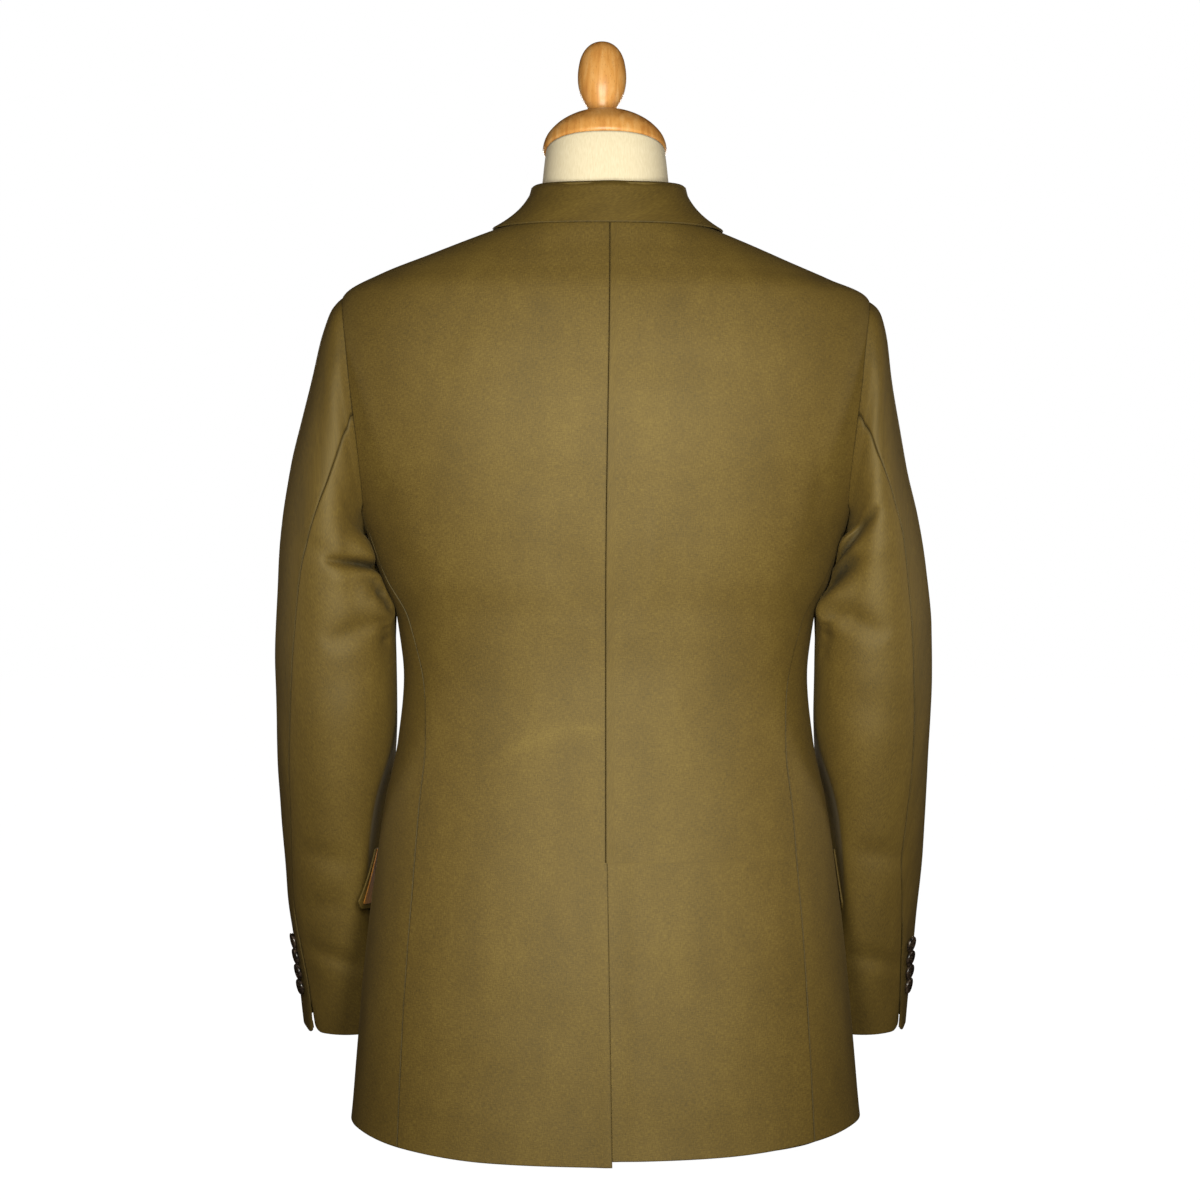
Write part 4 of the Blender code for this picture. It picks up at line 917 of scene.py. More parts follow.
@dataclass(frozen=True)
class BackPanel:
    """A back panel, from centre back to the side seam. The left one laps over the right one below
    the vent's top."""

    vent_tuck: float = 2.4 * MM
    underlap: float = 0.034
    edge_top: float = 1.4 * MM
    edge_hem: float = 5.4 * MM
    vent_steps: Pair = (0.264, 0.285)
    vent_lift: float = 1.6 * MM  # how far the left panel's edge stands off
    vent_lift_wide: float = 0.012
    first_column: float = 7.5 * MM
    second_column: float = 32.0 * MM
    width: float = 0.19  # about its real width, which sets the number of columns
    uneven: float = 0.55 * MM
    nap_marks: tuple[Crease, ...] = (  # where the left nap is brushed back, which looks lighter
        Crease((-0.104, 0.338), (0.004, 0.374), 0.011, 0.007, 0.095),
        Crease((-0.03, 0.372), (0.0, 0.371), 0.001, 0.004, 0.06),
    )
    cut: Cut = Cut(0.278, 0.860, 0.171)
    creases_left: tuple[Crease, ...] = (
        Crease((0.205, 0.545), (0.15, 0.5), 0.004, 0.012, 0.0012),
        Crease((0.196, 0.515), (0.15, 0.445), 0.006, 0.014, 0.0012),
        Crease((0.06, 0.4), (0.15, 0.385), 0.006, 0.018, 0.001),
        Crease((0.035, 0.56), (0.03, 0.46), 0.003, 0.016, 0.0008),
        Crease((0.185, 0.72), (0.12, 0.69), 0.004, 0.022, 0.001),
    )
    creases_right: tuple[Crease, ...] = (
        Crease((0.021, 0.585), (0.02, 0.45), 0.002, 0.011, 0.0014),
        Crease((0.036, 0.58), (0.034, 0.46), 0.002, 0.012, -0.001),
        Crease((0.182, 0.615), (0.176, 0.54), 0.002, 0.01, 0.0014),
        Crease((0.201, 0.56), (0.16, 0.5), 0.004, 0.012, 0.0012),
        Crease((0.06, 0.395), (0.15, 0.4), -0.005, 0.018, 0.001),
    )

    def rows(self) -> Array:
        """Levels of the grid's rows, closer at the hem, the vent's top and the shoulder tip."""
        knots = (*HEM_ROWS, VENT_TOP - 0.4 * MM, VENT_TOP + 0.4 * MM, JOINT_LEVEL, *ARM_ROWS)
        return spaced((*knots, *TIP_ROWS, TIP_LEVEL, *YOKE_ROWS), ROW_STEP)

    def open_share(self, level: Array) -> Array:
        """How far a level lies down the vent, from 0 at its top to 1 at the hem."""
        return np.clip((VENT_TOP - level) / (VENT_TOP - HEM_LEVEL), 0, 1)

    def centre_edge(self, level: Array, hand: Hand) -> Array:
        """The centre edge's distance from the centre line, negative past it below the vent's top."""
        lap = self.edge_top + (self.edge_hem - self.edge_top) * self.open_share(level)
        return np.where(level < VENT_TOP, -hand.pick(lap, self.underlap), SEAM_GAP / 2)

    def angles(self, level: Array, hand: Hand) -> Array:
        """The grid's angles: from the centre edge over two fixed columns to the outer edge.

        Args:
            level: The rows' levels.
            hand: Which side.

        Returns:
            Radians, with a row for each level.
        """
        fixed = (self.centre_edge(level, hand), self.first_column, self.second_column)
        start, first, second = (BODY.angle_at(x, level) for x in fixed)
        stop = BODY.in_gap(BODY.outer_edge(level, front=False), level, hand, -SEAM_GAP / 2)
        inner = shares(self.underlap, 1.6 * MM)
        inner = inner[inner < 0.93]
        outer = shares(self.width, PANEL_STEP)[len(EDGE_LINES) - 1 :]
        return np.concatenate([
            between(start, first, inner / inner[-1]),
            between(first, second, np.linspace(0, 1, 6)[1:]),
            between(second, stop, (outer[1:] - outer[0]) / (1 - outer[0])),
        ], axis=1)

    def build(self, hand: Hand) -> Object:
        """One back panel, with its creases, the vent's lap and the brushed marks of its nap.

        Args:
            hand: Which side.

        Returns:
            The shell.
        """
        rows = self.rows()
        level = rows[:, None]
        point, normal = BODY.patch(self.angles(rows, hand), level, hand)
        x, z = point[..., 0], point[..., 2]
        inwards = pushed(hand.pick(self.creases_left, self.creases_right), x, z)
        inwards = inwards + self.uneven * waviness(x * hand.value, z, 0.4) * ease(x, 0.004, 0.03)
        if hand is Hand.RIGHT:
            beside = 1 - ease(x, self.first_column, self.second_column)
            inwards = inwards + self.vent_tuck * beside * (1 - ease(level, *self.vent_steps))
            shade = 0.0
        else:
            beside = np.exp(-(((x - self.centre_edge(level, hand)) / self.vent_lift_wide) ** 2))
            inwards = inwards - self.vent_lift * beside * self.open_share(level) ** 0.5
            shade = -pushed(self.nap_marks, -x, z)
        surface = point - normal * inwards[..., None]
        return shell(f"back_{hand.word}", surface, normal, CLOTH, hand, shade=shade)


@dataclass(frozen=True)
class SidePanel:
    """A side body, from the hem to the lower curve of the armhole."""

    uneven: float = 0.5 * MM
    # painted shade along the side seams, darker than at other edges, so that the seam's lit lip reads dark
    seam_shade: float = 0.30
    width: float = 0.15
    cut: Cut = Cut(0.202, 0.555, 0.079)
    creases: tuple[Crease, ...] = (
        Crease((-0.06, 0.43), (0.02, 0.415), 0.004, 0.016, 0.0004),
        Crease((-0.03, 0.52), (0.03, 0.47), 0.004, 0.012, 0.0012),
    )

    def build(self, hand: Hand) -> Object:
        """One side body: straight shares between its seams, and rows stretched up to the armhole.

        Args:
            hand: Which side.

        Returns:
            The shell.
        """
        rows = spaced((*HEM_ROWS, *(JOINT_LEVEL - line for line in EDGE_LINES[::-1])), ROW_STEP)
        start, stop = (
            BODY.in_gap(BODY.seam_angle(name, rows), rows, hand, gap)
            for name, gap in (("back_seam", SEAM_GAP / 2), ("front_seam", -SEAM_GAP / 2))
        )
        angle = between(start, stop, shares(self.width, PANEL_STEP))
        stretch = (BODY.armhole_floor(angle[-1]) - HEM_LEVEL) / (JOINT_LEVEL - HEM_LEVEL)
        point, normal = BODY.patch(angle, HEM_LEVEL + (rows - HEM_LEVEL)[:, None] * stretch, hand)
        y, z = point[..., 1], point[..., 2]
        inwards = pushed(self.creases, y, z) + self.uneven * (waviness(y, z, 1.9 * hand.value) * 0.5 + 0.5)
        surface = point - normal * inwards[..., None]
        return shell(f"side_{hand.word}", surface, normal, CLOTH, hand, edge_painted_shade=self.seam_shade)


@dataclass(frozen=True)
class Front:
    """The fronts: shoulder to quarter-cut hem, the left one lapping over the right one."""

    break_height: float = 0.405
    lap: float = 0.018
    tuck: float = 7.8 * MM
    tuck_from: float = 0.020
    tuck_to: float = 0.090
    cutaway_height: float = 0.270
    cutaway: float = 0.062
    cutaway_power: float = 1.7
    quarter_radius: float = 0.055
    quarter_foot: float = 0.022
    uneven: float = 0.6 * MM
    width: float = 0.19
    angles: Pair = (math.radians(91), math.radians(200))  # where its edge is looked for
    cut: Cut = Cut(0.226, 0.930, 0.154)
    roll: Table = Table(("height", "edge"), (
        (0.405, -0.018), (0.5, 0.0045), (0.6, 0.0275), (0.7, 0.05), (0.762, 0.0632),
        (0.79, 0.07), (0.8125, 0.0768),
    ))
    creases: tuple[Crease, ...] = (
        Crease((0.01, 0.392), (0.11, 0.41), 0.006, 0.012, 0.0018),
        Crease((0.012, 0.378), (0.1, 0.35), -0.006, 0.013, 0.0016),
        Crease((0.19, 0.59), (0.13, 0.56), 0.005, 0.014, 0.0016),
        Crease((0.185, 0.56), (0.14, 0.5), 0.004, 0.014, 0.0014),
        Crease((0.03, 0.3), (0.06, 0.15), 0.008, 0.022, 0.0014),
    )

    def edge_x(self, height: Array) -> Array:
        """The front edge's distance from the centre line.

        Above the break it is the roll line. Below, the lap is cut away with a power of the drop, and
        the hem corner is a quarter circle.

        Args:
            height: Heights in metres.

        Returns:
            Distances, negative past the centre line.
        """
        roll = self.roll.at("edge", height)
        drop = np.clip((self.cutaway_height - height) / self.cutaway_height, 0, 1)
        foot = np.clip((height - self.quarter_foot) / self.quarter_radius, 0, 1)
        corner = self.quarter_radius * (1 - np.sqrt(1 - (1 - foot) ** 2))
        below = -self.lap + self.cutaway * drop**self.cutaway_power + corner
        return np.where(height > self.break_height, roll, below)

    def tucked(self, x: Array, hand: Hand) -> Array:
        """How far a front lies inside the body surface: the right one passes under the left one."""
        return hand.pick(0.0, self.tuck) * (1 - ease(x, self.tuck_from, self.tuck_to))

    def edge_angle(self, level: Array, hand: Hand) -> Array:
        """The angle of each ring at which it meets the front edge, by halving.

        Args:
            level: Ring levels.
            hand: Which side.

        Returns:
            Radians from centre back.
        """
        low, high = (np.full(len(level), angle) for angle in self.angles)
        for _ in range(36):
            middle = (low + high) / 2
            point = BODY.points(middle, level, hand)
            outside = point[:, 0] > self.edge_x(point[:, 2])
            low, high = np.where(outside, middle, low), np.where(outside, high, middle)
        return (low + high) / 2

    def on(self, x: Array, height: Array, hand: Hand) -> tuple[Array, Array]:
        """Points and normals of a front at widths and heights, by Newton's method on both parameters.

        Args:
            x: Distances from the centre line.
            height: Heights.
            hand: Which side.

        Returns:
            The points and their outward normals.
        """
        angle = np.full(np.shape(x), math.radians(150.0))
        level = np.array(height, float) + np.zeros(np.shape(x))
        for _ in range(24):
            here = BODY.points(angle, level, hand)
            by_angle = BODY.points(angle + NUDGE, level, hand) - here
            by_level = BODY.points(angle, level + NUDGE, hand) - here
            miss_x, miss_z = x - here[..., 0], height - here[..., 2]
            area = by_angle[..., 0] * by_level[..., 2] - by_angle[..., 2] * by_level[..., 0]
            area = np.where(np.abs(area) < 1e-9 * NUDGE**2, 1e-9 * NUDGE**2, area)
            turn = (miss_x * by_level[..., 2] - miss_z * by_level[..., 0]) * NUDGE / area
            climb = (miss_z * by_angle[..., 0] - miss_x * by_angle[..., 2]) * NUDGE / area
            angle = np.clip(angle + np.clip(turn, -0.2, 0.2), *self.angles)
            level = np.clip(level + np.clip(climb, -0.03, 0.03), HEM_LEVEL, NECK_LEVEL - 0.001)
        point, normal = BODY.patch(angle, level, hand)
        return point - normal * self.tucked(point[..., 0], hand)[..., None], normal

    def build(self, hand: Hand) -> Object:
        """One front, from its side seam, armhole and shoulder seam to the front edge.

        Args:
            hand: Which side.

        Returns:
            The shell.
        """
        knots = (*HEM_ROWS, 0.10, JOINT_LEVEL, *ARM_ROWS, *TIP_ROWS, TIP_LEVEL, *YOKE_ROWS)
        rows = spaced(knots, ROW_STEP)
        start = BODY.in_gap(BODY.outer_edge(rows, front=True), rows, hand, SEAM_GAP / 2)
        angle = between(start, self.edge_angle(rows, hand), shares(self.width, PANEL_STEP))
        point, normal = BODY.patch(angle, rows[:, None], hand)
        x, z = point[..., 0], point[..., 2]
        inwards = self.tucked(x, hand) + pushed(self.creases, x, z)
        inwards = inwards + self.uneven * (waviness(x * hand.value, z, 2.6) * 0.5 + 0.5)
        return shell(f"front_{hand.word}", point - normal * inwards[..., None], normal, CLOTH, hand)


FRONT = Front()


# ---------------- lapels and collar
@dataclass(frozen=True)
class Lapel:
    """A sheet turned back from the roll line, ending in a notch below the collar."""

    gorge_height: float = 0.762
    gorge_gap: float = 0.8 * MM
    gap: float = 0.3 * MM  # between the lapel and the front
    roll: float = 3.0 * MM
    belly: float = 3.0 * MM
    lowest: float = 0.05  # where it starts, as a share of the way from the break to the gorge
    length: float = 0.36
    width: float = 0.085
    cut: Cut = Cut(0.095, 0.365, 0.0250)
    outline: Table = Table(("along", "edge", "height"), (
        (0.0, -0.014, 0.407), (0.15, 0.016, 0.438), (0.35, 0.056, 0.495), (0.6, 0.097, 0.585),
        (0.8, 0.124, 0.656), (0.93, 0.1395, 0.708), (1.0, 0.143, 0.7265),
    ))
    profile: Table = Table(("across", "lift", "belly"), (
        (0.0, 0.0006, 0.0), (0.03, 0.0036, 0.5), (0.1, 0.0048, 1.0), (0.28, 0.0045, 0.6),
        (0.52, 0.004, 0.2), (0.76, 0.0036, 0.0), (1.0, 0.0034, 0.0),
    ))

    def build(self, hand: Hand) -> Object:
        """One lapel: rows from the break up to the gorge, columns from the roll line to the edge.

        Args:
            hand: Which side.

        Returns:
            The shell.
        """
        along = self.lowest + (1 - self.lowest) * shares(self.length, ROW_STEP)
        across = shares(self.width, 2.6 * MM)
        roll_z = FRONT.break_height + (self.gorge_height - self.gorge_gap - FRONT.break_height) * along
        x = between(FRONT.edge_x(roll_z) - self.roll, self.outline.at("edge", along), across)
        z = between(roll_z, self.outline.at("height", along), across)
        point, normal = FRONT.on(x, z, hand)
        belly = hand.pick(self.belly, 0.0) * (1 - along)[:, None] * self.profile.at("belly", across)
        lift = self.profile.at("lift", across) + self.gap + belly
        return shell(f"lapel_{hand.word}", point + normal * lift[..., None], normal, CLOTH, hand)


@dataclass(frozen=True)
class Collar:
    """Stand and fall in one folded sheet, swept round the neck and ended at each gorge."""

    fold_half_width: float = 0.0658
    fold_y: Pair = (-0.0690, -0.004)  # centre back, side
    fold_z: Pair = (0.8400, 0.8430)
    fold_radius: float = 2.4 * MM
    fold_turn: float = 0.55 * math.pi  # how far the cloth has turned over the fold where the fall starts
    bend: Triple = (0.58, 0.22, 0.60)  # outwards at the back, at the side, and down
    bend_clear: float = 5.0 * MM
    foot_gap: float = 1.2 * MM
    foot_in: Triple = (2.2 * MM, 3.2 * MM, 0.4 * MM)  # side, front, and up at the front
    leaf_level: float = 0.8960
    leaf_drop: float = 0.0250  # how much lower the leaf's ring level is at centre back
    leaf_curve: float = 1.3  # over 1, the leaf's edge is flatter at the side than at centre back
    leaf_lift: float = 3.4 * MM
    leaf_low: float = 1.2 * MM  # how much lower the leaf lies at the side
    cut: Cut = Cut(0.091, 0.556, 0.0353)
    front: Table = Table(("foot_height", "stand", "leaf_x", "leaf_z", "lift"), (
        (0.801, 0.024, 0.103, 0.7945, 0.0042), (0.789, 0.017, 0.113, 0.782, 0.0036),
        (0.777, 0.011, 0.1235, 0.77, 0.0034), (0.7625, 0.005, 0.1085, 0.743, 0.0029),
    ))

    def stations(self, hand: Hand) -> list[Array]:
        """Foot, fold, bend and leaf edge of the stations, from centre back to the gorge.

        Args:
            hand: Which side.

        Returns:
            Four arrays of points.
        """
        angle = np.radians(np.arange(0, 91, 18))
        neck = BODY.points(angle, NECK_LEVEL, hand)
        foot = neck + unit(neck - BODY.points(angle, NECK_LEVEL - 0.001, hand)) * self.foot_gap
        foot[:, 0] -= self.foot_in[0] * ease(np.degrees(angle), 60, 90)
        side, end = BODY.rounded(angle)
        fold = np.stack([
            self.fold_half_width * side,
            self.fold_y[1] + (self.fold_y[0] - self.fold_y[1]) * end,
            self.fold_z[1] + (self.fold_z[0] - self.fold_z[1]) * end**2,
        ], axis=-1)
        level = self.leaf_level - self.leaf_drop * end**self.leaf_curve
        lift = (self.leaf_lift - self.leaf_low * side**4)[:, None]
        ring, ring_normal = BODY.patch(angle, level, hand)
        leaf = ring + ring_normal * lift
        out = self.bend[0] + (self.bend[1] - self.bend[0]) * side[:, None] ** 2
        bend = fold + (leaf - fold) * np.concatenate([out, out, np.full_like(out, self.bend[2])], axis=1)
        height = self.front.column("foot_height")
        edge, edge_normal = FRONT.on(FRONT.edge_x(height), height, hand)
        front_foot = edge + np.array((-self.foot_in[1], 0, self.foot_in[2]))
        turn = np.linspace(0.15, 1, len(edge))[:, None]
        upright = unit(fold[-1] - foot[-1])
        lean = unit((1 - turn) * upright + turn * (edge_normal + np.array((-0.25, 0, 0))))
        front_fold = front_foot + lean * self.front.column("stand")[:, None]
        chest, chest_normal = FRONT.on(self.front.column("leaf_x"), self.front.column("leaf_z"), hand)
        front_leaf = chest + chest_normal * self.front.column("lift")[:, None]
        front_bend = (front_fold + front_leaf) / 2
        middle, middle_normal = FRONT.on(front_bend[:, 0], front_bend[:, 2], hand)
        low = dot(front_bend - middle, middle_normal)
        front_bend = front_bend + middle_normal * np.maximum(self.bend_clear - low, 0)
        pairs = ((foot, front_foot), (fold, front_fold), (bend, front_bend), (leaf, front_leaf))
        return [np.concatenate(pair) for pair in pairs]

    def section(self, hand: Hand) -> Array:
        """The folded sheet of one side, as rows from the foot over the fold to the leaf's edge.

        The stand is straight up to the fold, which is a half turn of the fold's radius. The fall is a
        quadratic curve from the fold over the bend to the leaf's edge. Each is carried along a smooth
        curve through the stations.

        Args:
            hand: Which side.

        Returns:
            A grid of points.
        """
        curves = self.stations(hand)
        step = np.linalg.norm(np.diff(curves[1] + curves[3], axis=0), axis=1)
        place = np.concatenate([[0], np.cumsum(step)]) / step.sum()
        fine = shares(0.21, 2.4 * MM)[len(EDGE_LINES) - 1 :]
        fine = (fine - fine[0]) / (1 - fine[0])
        foot, fold, bend, leaf = (
            np.stack([curve(fine, place, values, False) for values in line.T], axis=-1) for line in curves
        )
        stand = fold - foot
        tall = np.linalg.norm(stand, axis=-1, keepdims=True)
        away = unit(bend - foot - dot(bend - foot, unit(stand)) * unit(stand))
        radius = np.minimum(self.fold_radius, 0.4 * tall)
        rows = [foot + stand * (1 - radius / tall) * t for t in shares(0.02, 2.0 * MM)[:-6]]
        for turn in np.linspace(0, self.fold_turn, 7)[1:]:
            low, out = radius * (1 - math.sin(turn)), radius * (1 - math.cos(turn))
            rows.append(fold - unit(stand) * low + away * out)
        for t in 0.06 + 0.94 * shares(0.045, 2.0 * MM)[5:]:
            fall = (1 - t) ** 2 * fold + 2 * t * (1 - t) * bend + t * t * leaf
            rows.append(fall + away * radius * (1 - t))
        return np.stack(rows, axis=0)

    def build(self) -> Object:
        """The whole collar, its left side mirrored on to its right side at centre back.

        Returns:
            The shell.
        """
        left = self.section(Hand.LEFT)[:, :0:-1] * np.array((-1, 1, 1))
        surface = np.concatenate([left, self.section(Hand.RIGHT)], axis=1)
        normal = grid_normals(surface)
        normal = normal * np.sign(normal[1, surface.shape[1] // 2, 1])
        return shell("collar", surface, normal, CLOTH, Hand.RIGHT)


# ---------------- sleeves
def crowded(share: Array) -> Array:
    """Even shares drawn towards both ends: t - 0.8 sin(2 pi t) / (2 pi)."""
    return share - 0.8 * np.sin(2 * math.pi * share) / (2 * math.pi)


@dataclass(frozen=True)
class Sleeve:
    """A two-piece sleeve: rings that start on the armhole and fade to ovals down to the cuff, cut at a
    back seam and a front seam. Angles run round an oval from its outer side over the back."""

    cap_fade: float = 0.30
    cap_power: float = 1.6
    cap_gap: float = 1.4 * SEAM_GAP  # from the panels' edge
    cap_sunk: float = 0.9 * MM  # how far the sleeve's head starts under the panels' surface
    cap_roll: float = 0.4 * MM
    cap_roll_reach: Pair = (2.5 * MM, 0.030)  # where the roll is full, and where it ends
    cap_roll_rise: Pair = (0.60, 0.70)  # heights between which it sets in
    armhole_middle: float = 0.010  # depth of the point round which the armhole's angles turn
    armhole_reach: float = 0.077  # how far the armhole reaches back from there
    seams_settled: float = 0.06  # share of the sleeve after which the seams are where the rings say
    shares_even: float = 0.45  # share of the sleeve after which the columns are evenly spread
    clear: Pair = (9.0 * MM, 1.6 * MM)  # off the body, at the cuff and at the elbow
    clear_between: Pair = (0.28, 0.40)
    press_softness: float = 2.2 * MM
    press_top: Pair = (0.535, 0.548)  # heights between which the press ends
    hug: tuple[float, float, float, float] = (0.446, 0.478, 0.536, 0.556)  # heights that touch the body
    hug_clear: float = 0.7 * MM
    hug_softness: float = 0.4 * MM
    hug_share: Pair = (0.50, 0.84)  # of the way to the inner side, where it sets in
    hug_over: float = 1.2 * MM  # how far the hug reaches over the body's outline
    hug_view: float = 2.5  # how far away that outline is seen from, in metres
    arm_radius: float = 0.06
    corner: float = 11.0 * MM
    corner_lift: Pair = (0.63, 0.90)  # shares of a quarter round, top and under sleeve
    corner_tall: float = 0.03
    placket: float = 3.0 * MM  # how far the buttoned corner hangs below the cuff
    placket_wide: float = 0.012
    slit_lift: float = 1.3 * MM  # how far the top sleeve's edge stands off at the cuff's slit
    slit_wide: float = 0.010
    slit_top: Pair = (0.185, 0.215)
    front_seam: float = -112  # degrees round the oval
    uneven: float = 0.7 * MM
    sideways: float = 0.35  # how much of a crease moves the sleeve sideways on the side towards the body
    fold_full: float = 11.0 * MM  # the depth at which a fold's painted shade is darkest
    # painted shade in the deep folds under the arms
    fold_shade: float = 0.46
    top_shade: float = 0.040  # the top sleeve's nap runs another way and looks darker; the same offset is also painted shade that tones down its lit head
    top_cut: Cut = Cut(0.230, 0.683, 0.109)
    under_cut: Cut = Cut(0.210, 0.560, 0.095)
    rings: Table = Table((
        "outer_left", "outer_right", "outer_z", "inner_x", "inner_z", "mid_y", "back", "front",
        "tilt", "seam_left", "seam_right"
    ), (
        (0.2290, 0.2290, 0.7480, 0.2090, 0.541, 0.012, 0.076, 0.074, 0.00, 91.5, 91.5),
        (0.2385, 0.2390, 0.7400, 0.2100, 0.540, 0.010, 0.080, 0.075, 0.00, 96.8, 94.5),
        (0.2475, 0.2460, 0.7170, 0.2110, 0.537, 0.006, 0.081, 0.077, 0.00, 97.1, 92.5),
        (0.2565, 0.2505, 0.6800, 0.2115, 0.532, 0.003, 0.080, 0.079, 0.00, 94.9, 87),
        (0.2662, 0.2565, 0.6400, 0.2090, 0.524, 0.001, 0.079, 0.080, 0.00, 89.4, 77),
        (0.2759, 0.2636, 0.6000, 0.2045, 0.512, 0.000, 0.078, 0.080, 0.00, 81.1, 66.8),
        (0.2829, 0.2741, 0.5550, 0.1990, 0.497, 0.000, 0.076, 0.078, 0.00, 70.7, 61.2),
        (0.2873, 0.2812, 0.5100, 0.1900, 0.479, 0.000, 0.073, 0.074, 0.00, 60.6, 58.1),
        (0.2892, 0.2866, 0.4600, 0.1838, 0.452, 0.001, 0.069, 0.070, 0.00, 53.3, 55.8),
        (0.2904, 0.2869, 0.4200, 0.1835, 0.418, 0.004, 0.066, 0.066, 0.03, 49.9, 53.2),
        (0.2904, 0.2868, 0.3800, 0.1835, 0.379, 0.012, 0.064, 0.063, 0.06, 46, 50.6),
        (0.2906, 0.2862, 0.3400, 0.1850, 0.340, 0.023, 0.061, 0.060, 0.10, 43, 51.4),
        (0.2893, 0.2858, 0.3000, 0.1880, 0.300, 0.037, 0.058, 0.057, 0.13, 40, 55.8),
        (0.2881, 0.2845, 0.2600, 0.1905, 0.260, 0.051, 0.055, 0.054, 0.15, 37, 59.5),
        (0.2870, 0.2825, 0.2200, 0.1915, 0.220, 0.065, 0.052, 0.052, 0.16, 35, 54),
        (0.2828, 0.2805, 0.1800, 0.1915, 0.180, 0.080, 0.050, 0.050, 0.16, 38, 49),
        (0.2798, 0.2780, 0.1400, 0.1910, 0.140, 0.096, 0.048, 0.048, 0.16, 43, 43),
        (0.2775, 0.2760, 0.0960, 0.1905, 0.096, 0.114, 0.0465, 0.0465, 0.16, 46, 38),
    ))
    # Creases lie on the unrolled sleeve: degrees round its middle, then height.
    creases_left: tuple[Crease, ...] = (
        Crease((95, 0.531), (155, 0.526), 0.002, 0.01, -0.0022),
        Crease((92, 0.5), (120, 0.5), 0.0, 0.008, -0.0016),
        Crease((92, 0.442), (140, 0.468), 0.002, 0.01, 0.005),
        Crease((70, 0.535), (104, 0.512), 0.002, 0.008, 0.0016),
        Crease((70, 0.392), (130, 0.42), 0.004, 0.018, 0.0018),
        Crease((60, 0.262), (118, 0.246), 0.003, 0.011, 0.0022),
        Crease((58, 0.172), (122, 0.15), 0.003, 0.009, 0.003),
        Crease((64, 0.206), (110, 0.214), 0.002, 0.011, 0.0018),
        Crease((-60, 0.47), (-140, 0.49), 0.004, 0.009, 0.0045),
        Crease((-55, 0.42), (-135, 0.44), 0.004, 0.01, 0.0045),
        Crease((-62, 0.38), (-130, 0.372), 0.003, 0.012, 0.0035),
        Crease((-58, 0.445), (-138, 0.462), 0.004, 0.012, -0.003),
    )
    creases_right: tuple[Crease, ...] = (
        Crease((100, 0.556), (128, 0.54), 0.0, 0.006, -0.002),
        Crease((80, 0.54), (112, 0.506), 0.002, 0.01, -0.0018),
        Crease((90, 0.448), (148, 0.488), 0.002, 0.0095, 0.0055),
        Crease((72, 0.372), (130, 0.402), 0.003, 0.018, 0.0018),
        Crease((60, 0.25), (120, 0.262), 0.003, 0.011, 0.0022),
        Crease((60, 0.15), (120, 0.166), 0.003, 0.009, 0.003),
        Crease((-58, 0.48), (-138, 0.502), 0.004, 0.009, 0.0045),
        Crease((-60, 0.43), (-140, 0.446), 0.004, 0.01, 0.0045),
        Crease((-55, 0.385), (-126, 0.388), 0.003, 0.012, 0.0035),
        Crease((-62, 0.455), (-136, 0.474), 0.004, 0.012, -0.003),
    )
    # The deep folds under the arms, which are made after the sleeve has met the body.
    folds_left: tuple[Crease, ...] = (
        Crease((90, 0.516), (162, 0.506), 0.001, 0.0034, 0.0135, 1.4),
        Crease((125, 0.503), (146, 0.466), 0.0, 0.0042, 0.011, 1.6),
        Crease((132, 0.48), (150, 0.424), 0.0, 0.003, 0.005, 1.4),
    )
    folds_right: tuple[Crease, ...] = (
        Crease((90, 0.562), (140, 0.51), -0.005, 0.0034, 0.012, 1.4),
        Crease((106, 0.524), (146, 0.484), 0.0, 0.008, 0.0115, 1.9),
        Crease((124, 0.484), (150, 0.424), 0.0, 0.0032, 0.005, 1.4),
    )

    def armhole_loop(self, hand: Hand) -> tuple[Array, Array, Array]:
        """The armhole's edge, from the shoulder tip down the back, under the arm and up the front.

        Args:
            hand: Which side.

        Returns:
            Its points, the panels' outward normals and the directions into the hole.
        """
        rows = spaced((JOINT_LEVEL, *ARM_ROWS, *TIP_ROWS, TIP_LEVEL), 5.0 * MM)
        start, stop = (BODY.seam_angle(name, JOINT_LEVEL) for name in ("back_seam", "front_seam"))
        floor = np.linspace(start, stop, 24)[1:-1]
        down = rows[::-1]
        angle = np.concatenate([
            BODY.outer_edge(down - 1e-9, front=False), floor, BODY.outer_edge(rows[:-1] + 1e-9, front=True),
        ])
        level = np.concatenate([down, BODY.armhole_floor(floor), rows[:-1]])
        point, normal = BODY.patch(angle, level, hand)
        edge = unit(np.roll(point, -1, axis=0) - np.roll(point, 1, axis=0))
        into = unit(np.cross(edge, normal))
        into = into * np.sign(dot(point.mean(axis=0) - point, into))
        return point, normal, into

    def inwards(self, points: Array, creases: tuple[Crease, ...]) -> Array:
        """The creases' pushes on the sleeve, unrolled to arc lengths at the arm's radius.

        Args:
            points: Rings of points.
            creases: Creases in degrees and heights.

        Returns:
            Lengths to move inwards.
        """
        from_middle = points - points.mean(axis=1, keepdims=True)
        angle = np.degrees(np.arctan2(-from_middle[..., 1], from_middle[..., 0]))
        around = math.radians(1) * self.arm_radius
        unrolled = tuple(
            replace(c, start=(c.start[0] * around, c.start[1]), end=(c.end[0] * around, c.end[1]))
            for c in creases
        )
        return pushed(unrolled, angle * around, points[..., 2])

    def crumpled(self, points: Array, inwards: Array, sideways: float) -> Array:
        """Points moved in along the sleeve's radius.

        Args:
            points: Rings of points.
            inwards: Lengths to move inwards.
            sideways: How much of the radius's sideways part is kept on the side towards the body,
                where a full sideways move would lift the sleeve off the body.

        Returns:
            The moved points.
        """
        outward = (points - points.mean(axis=1, keepdims=True)) * np.array((1, 1, 0))
        outward[..., 0] *= np.where(outward[..., 0] < 0, sideways, 1.0)
        return points - unit(outward) * inwards[..., None]

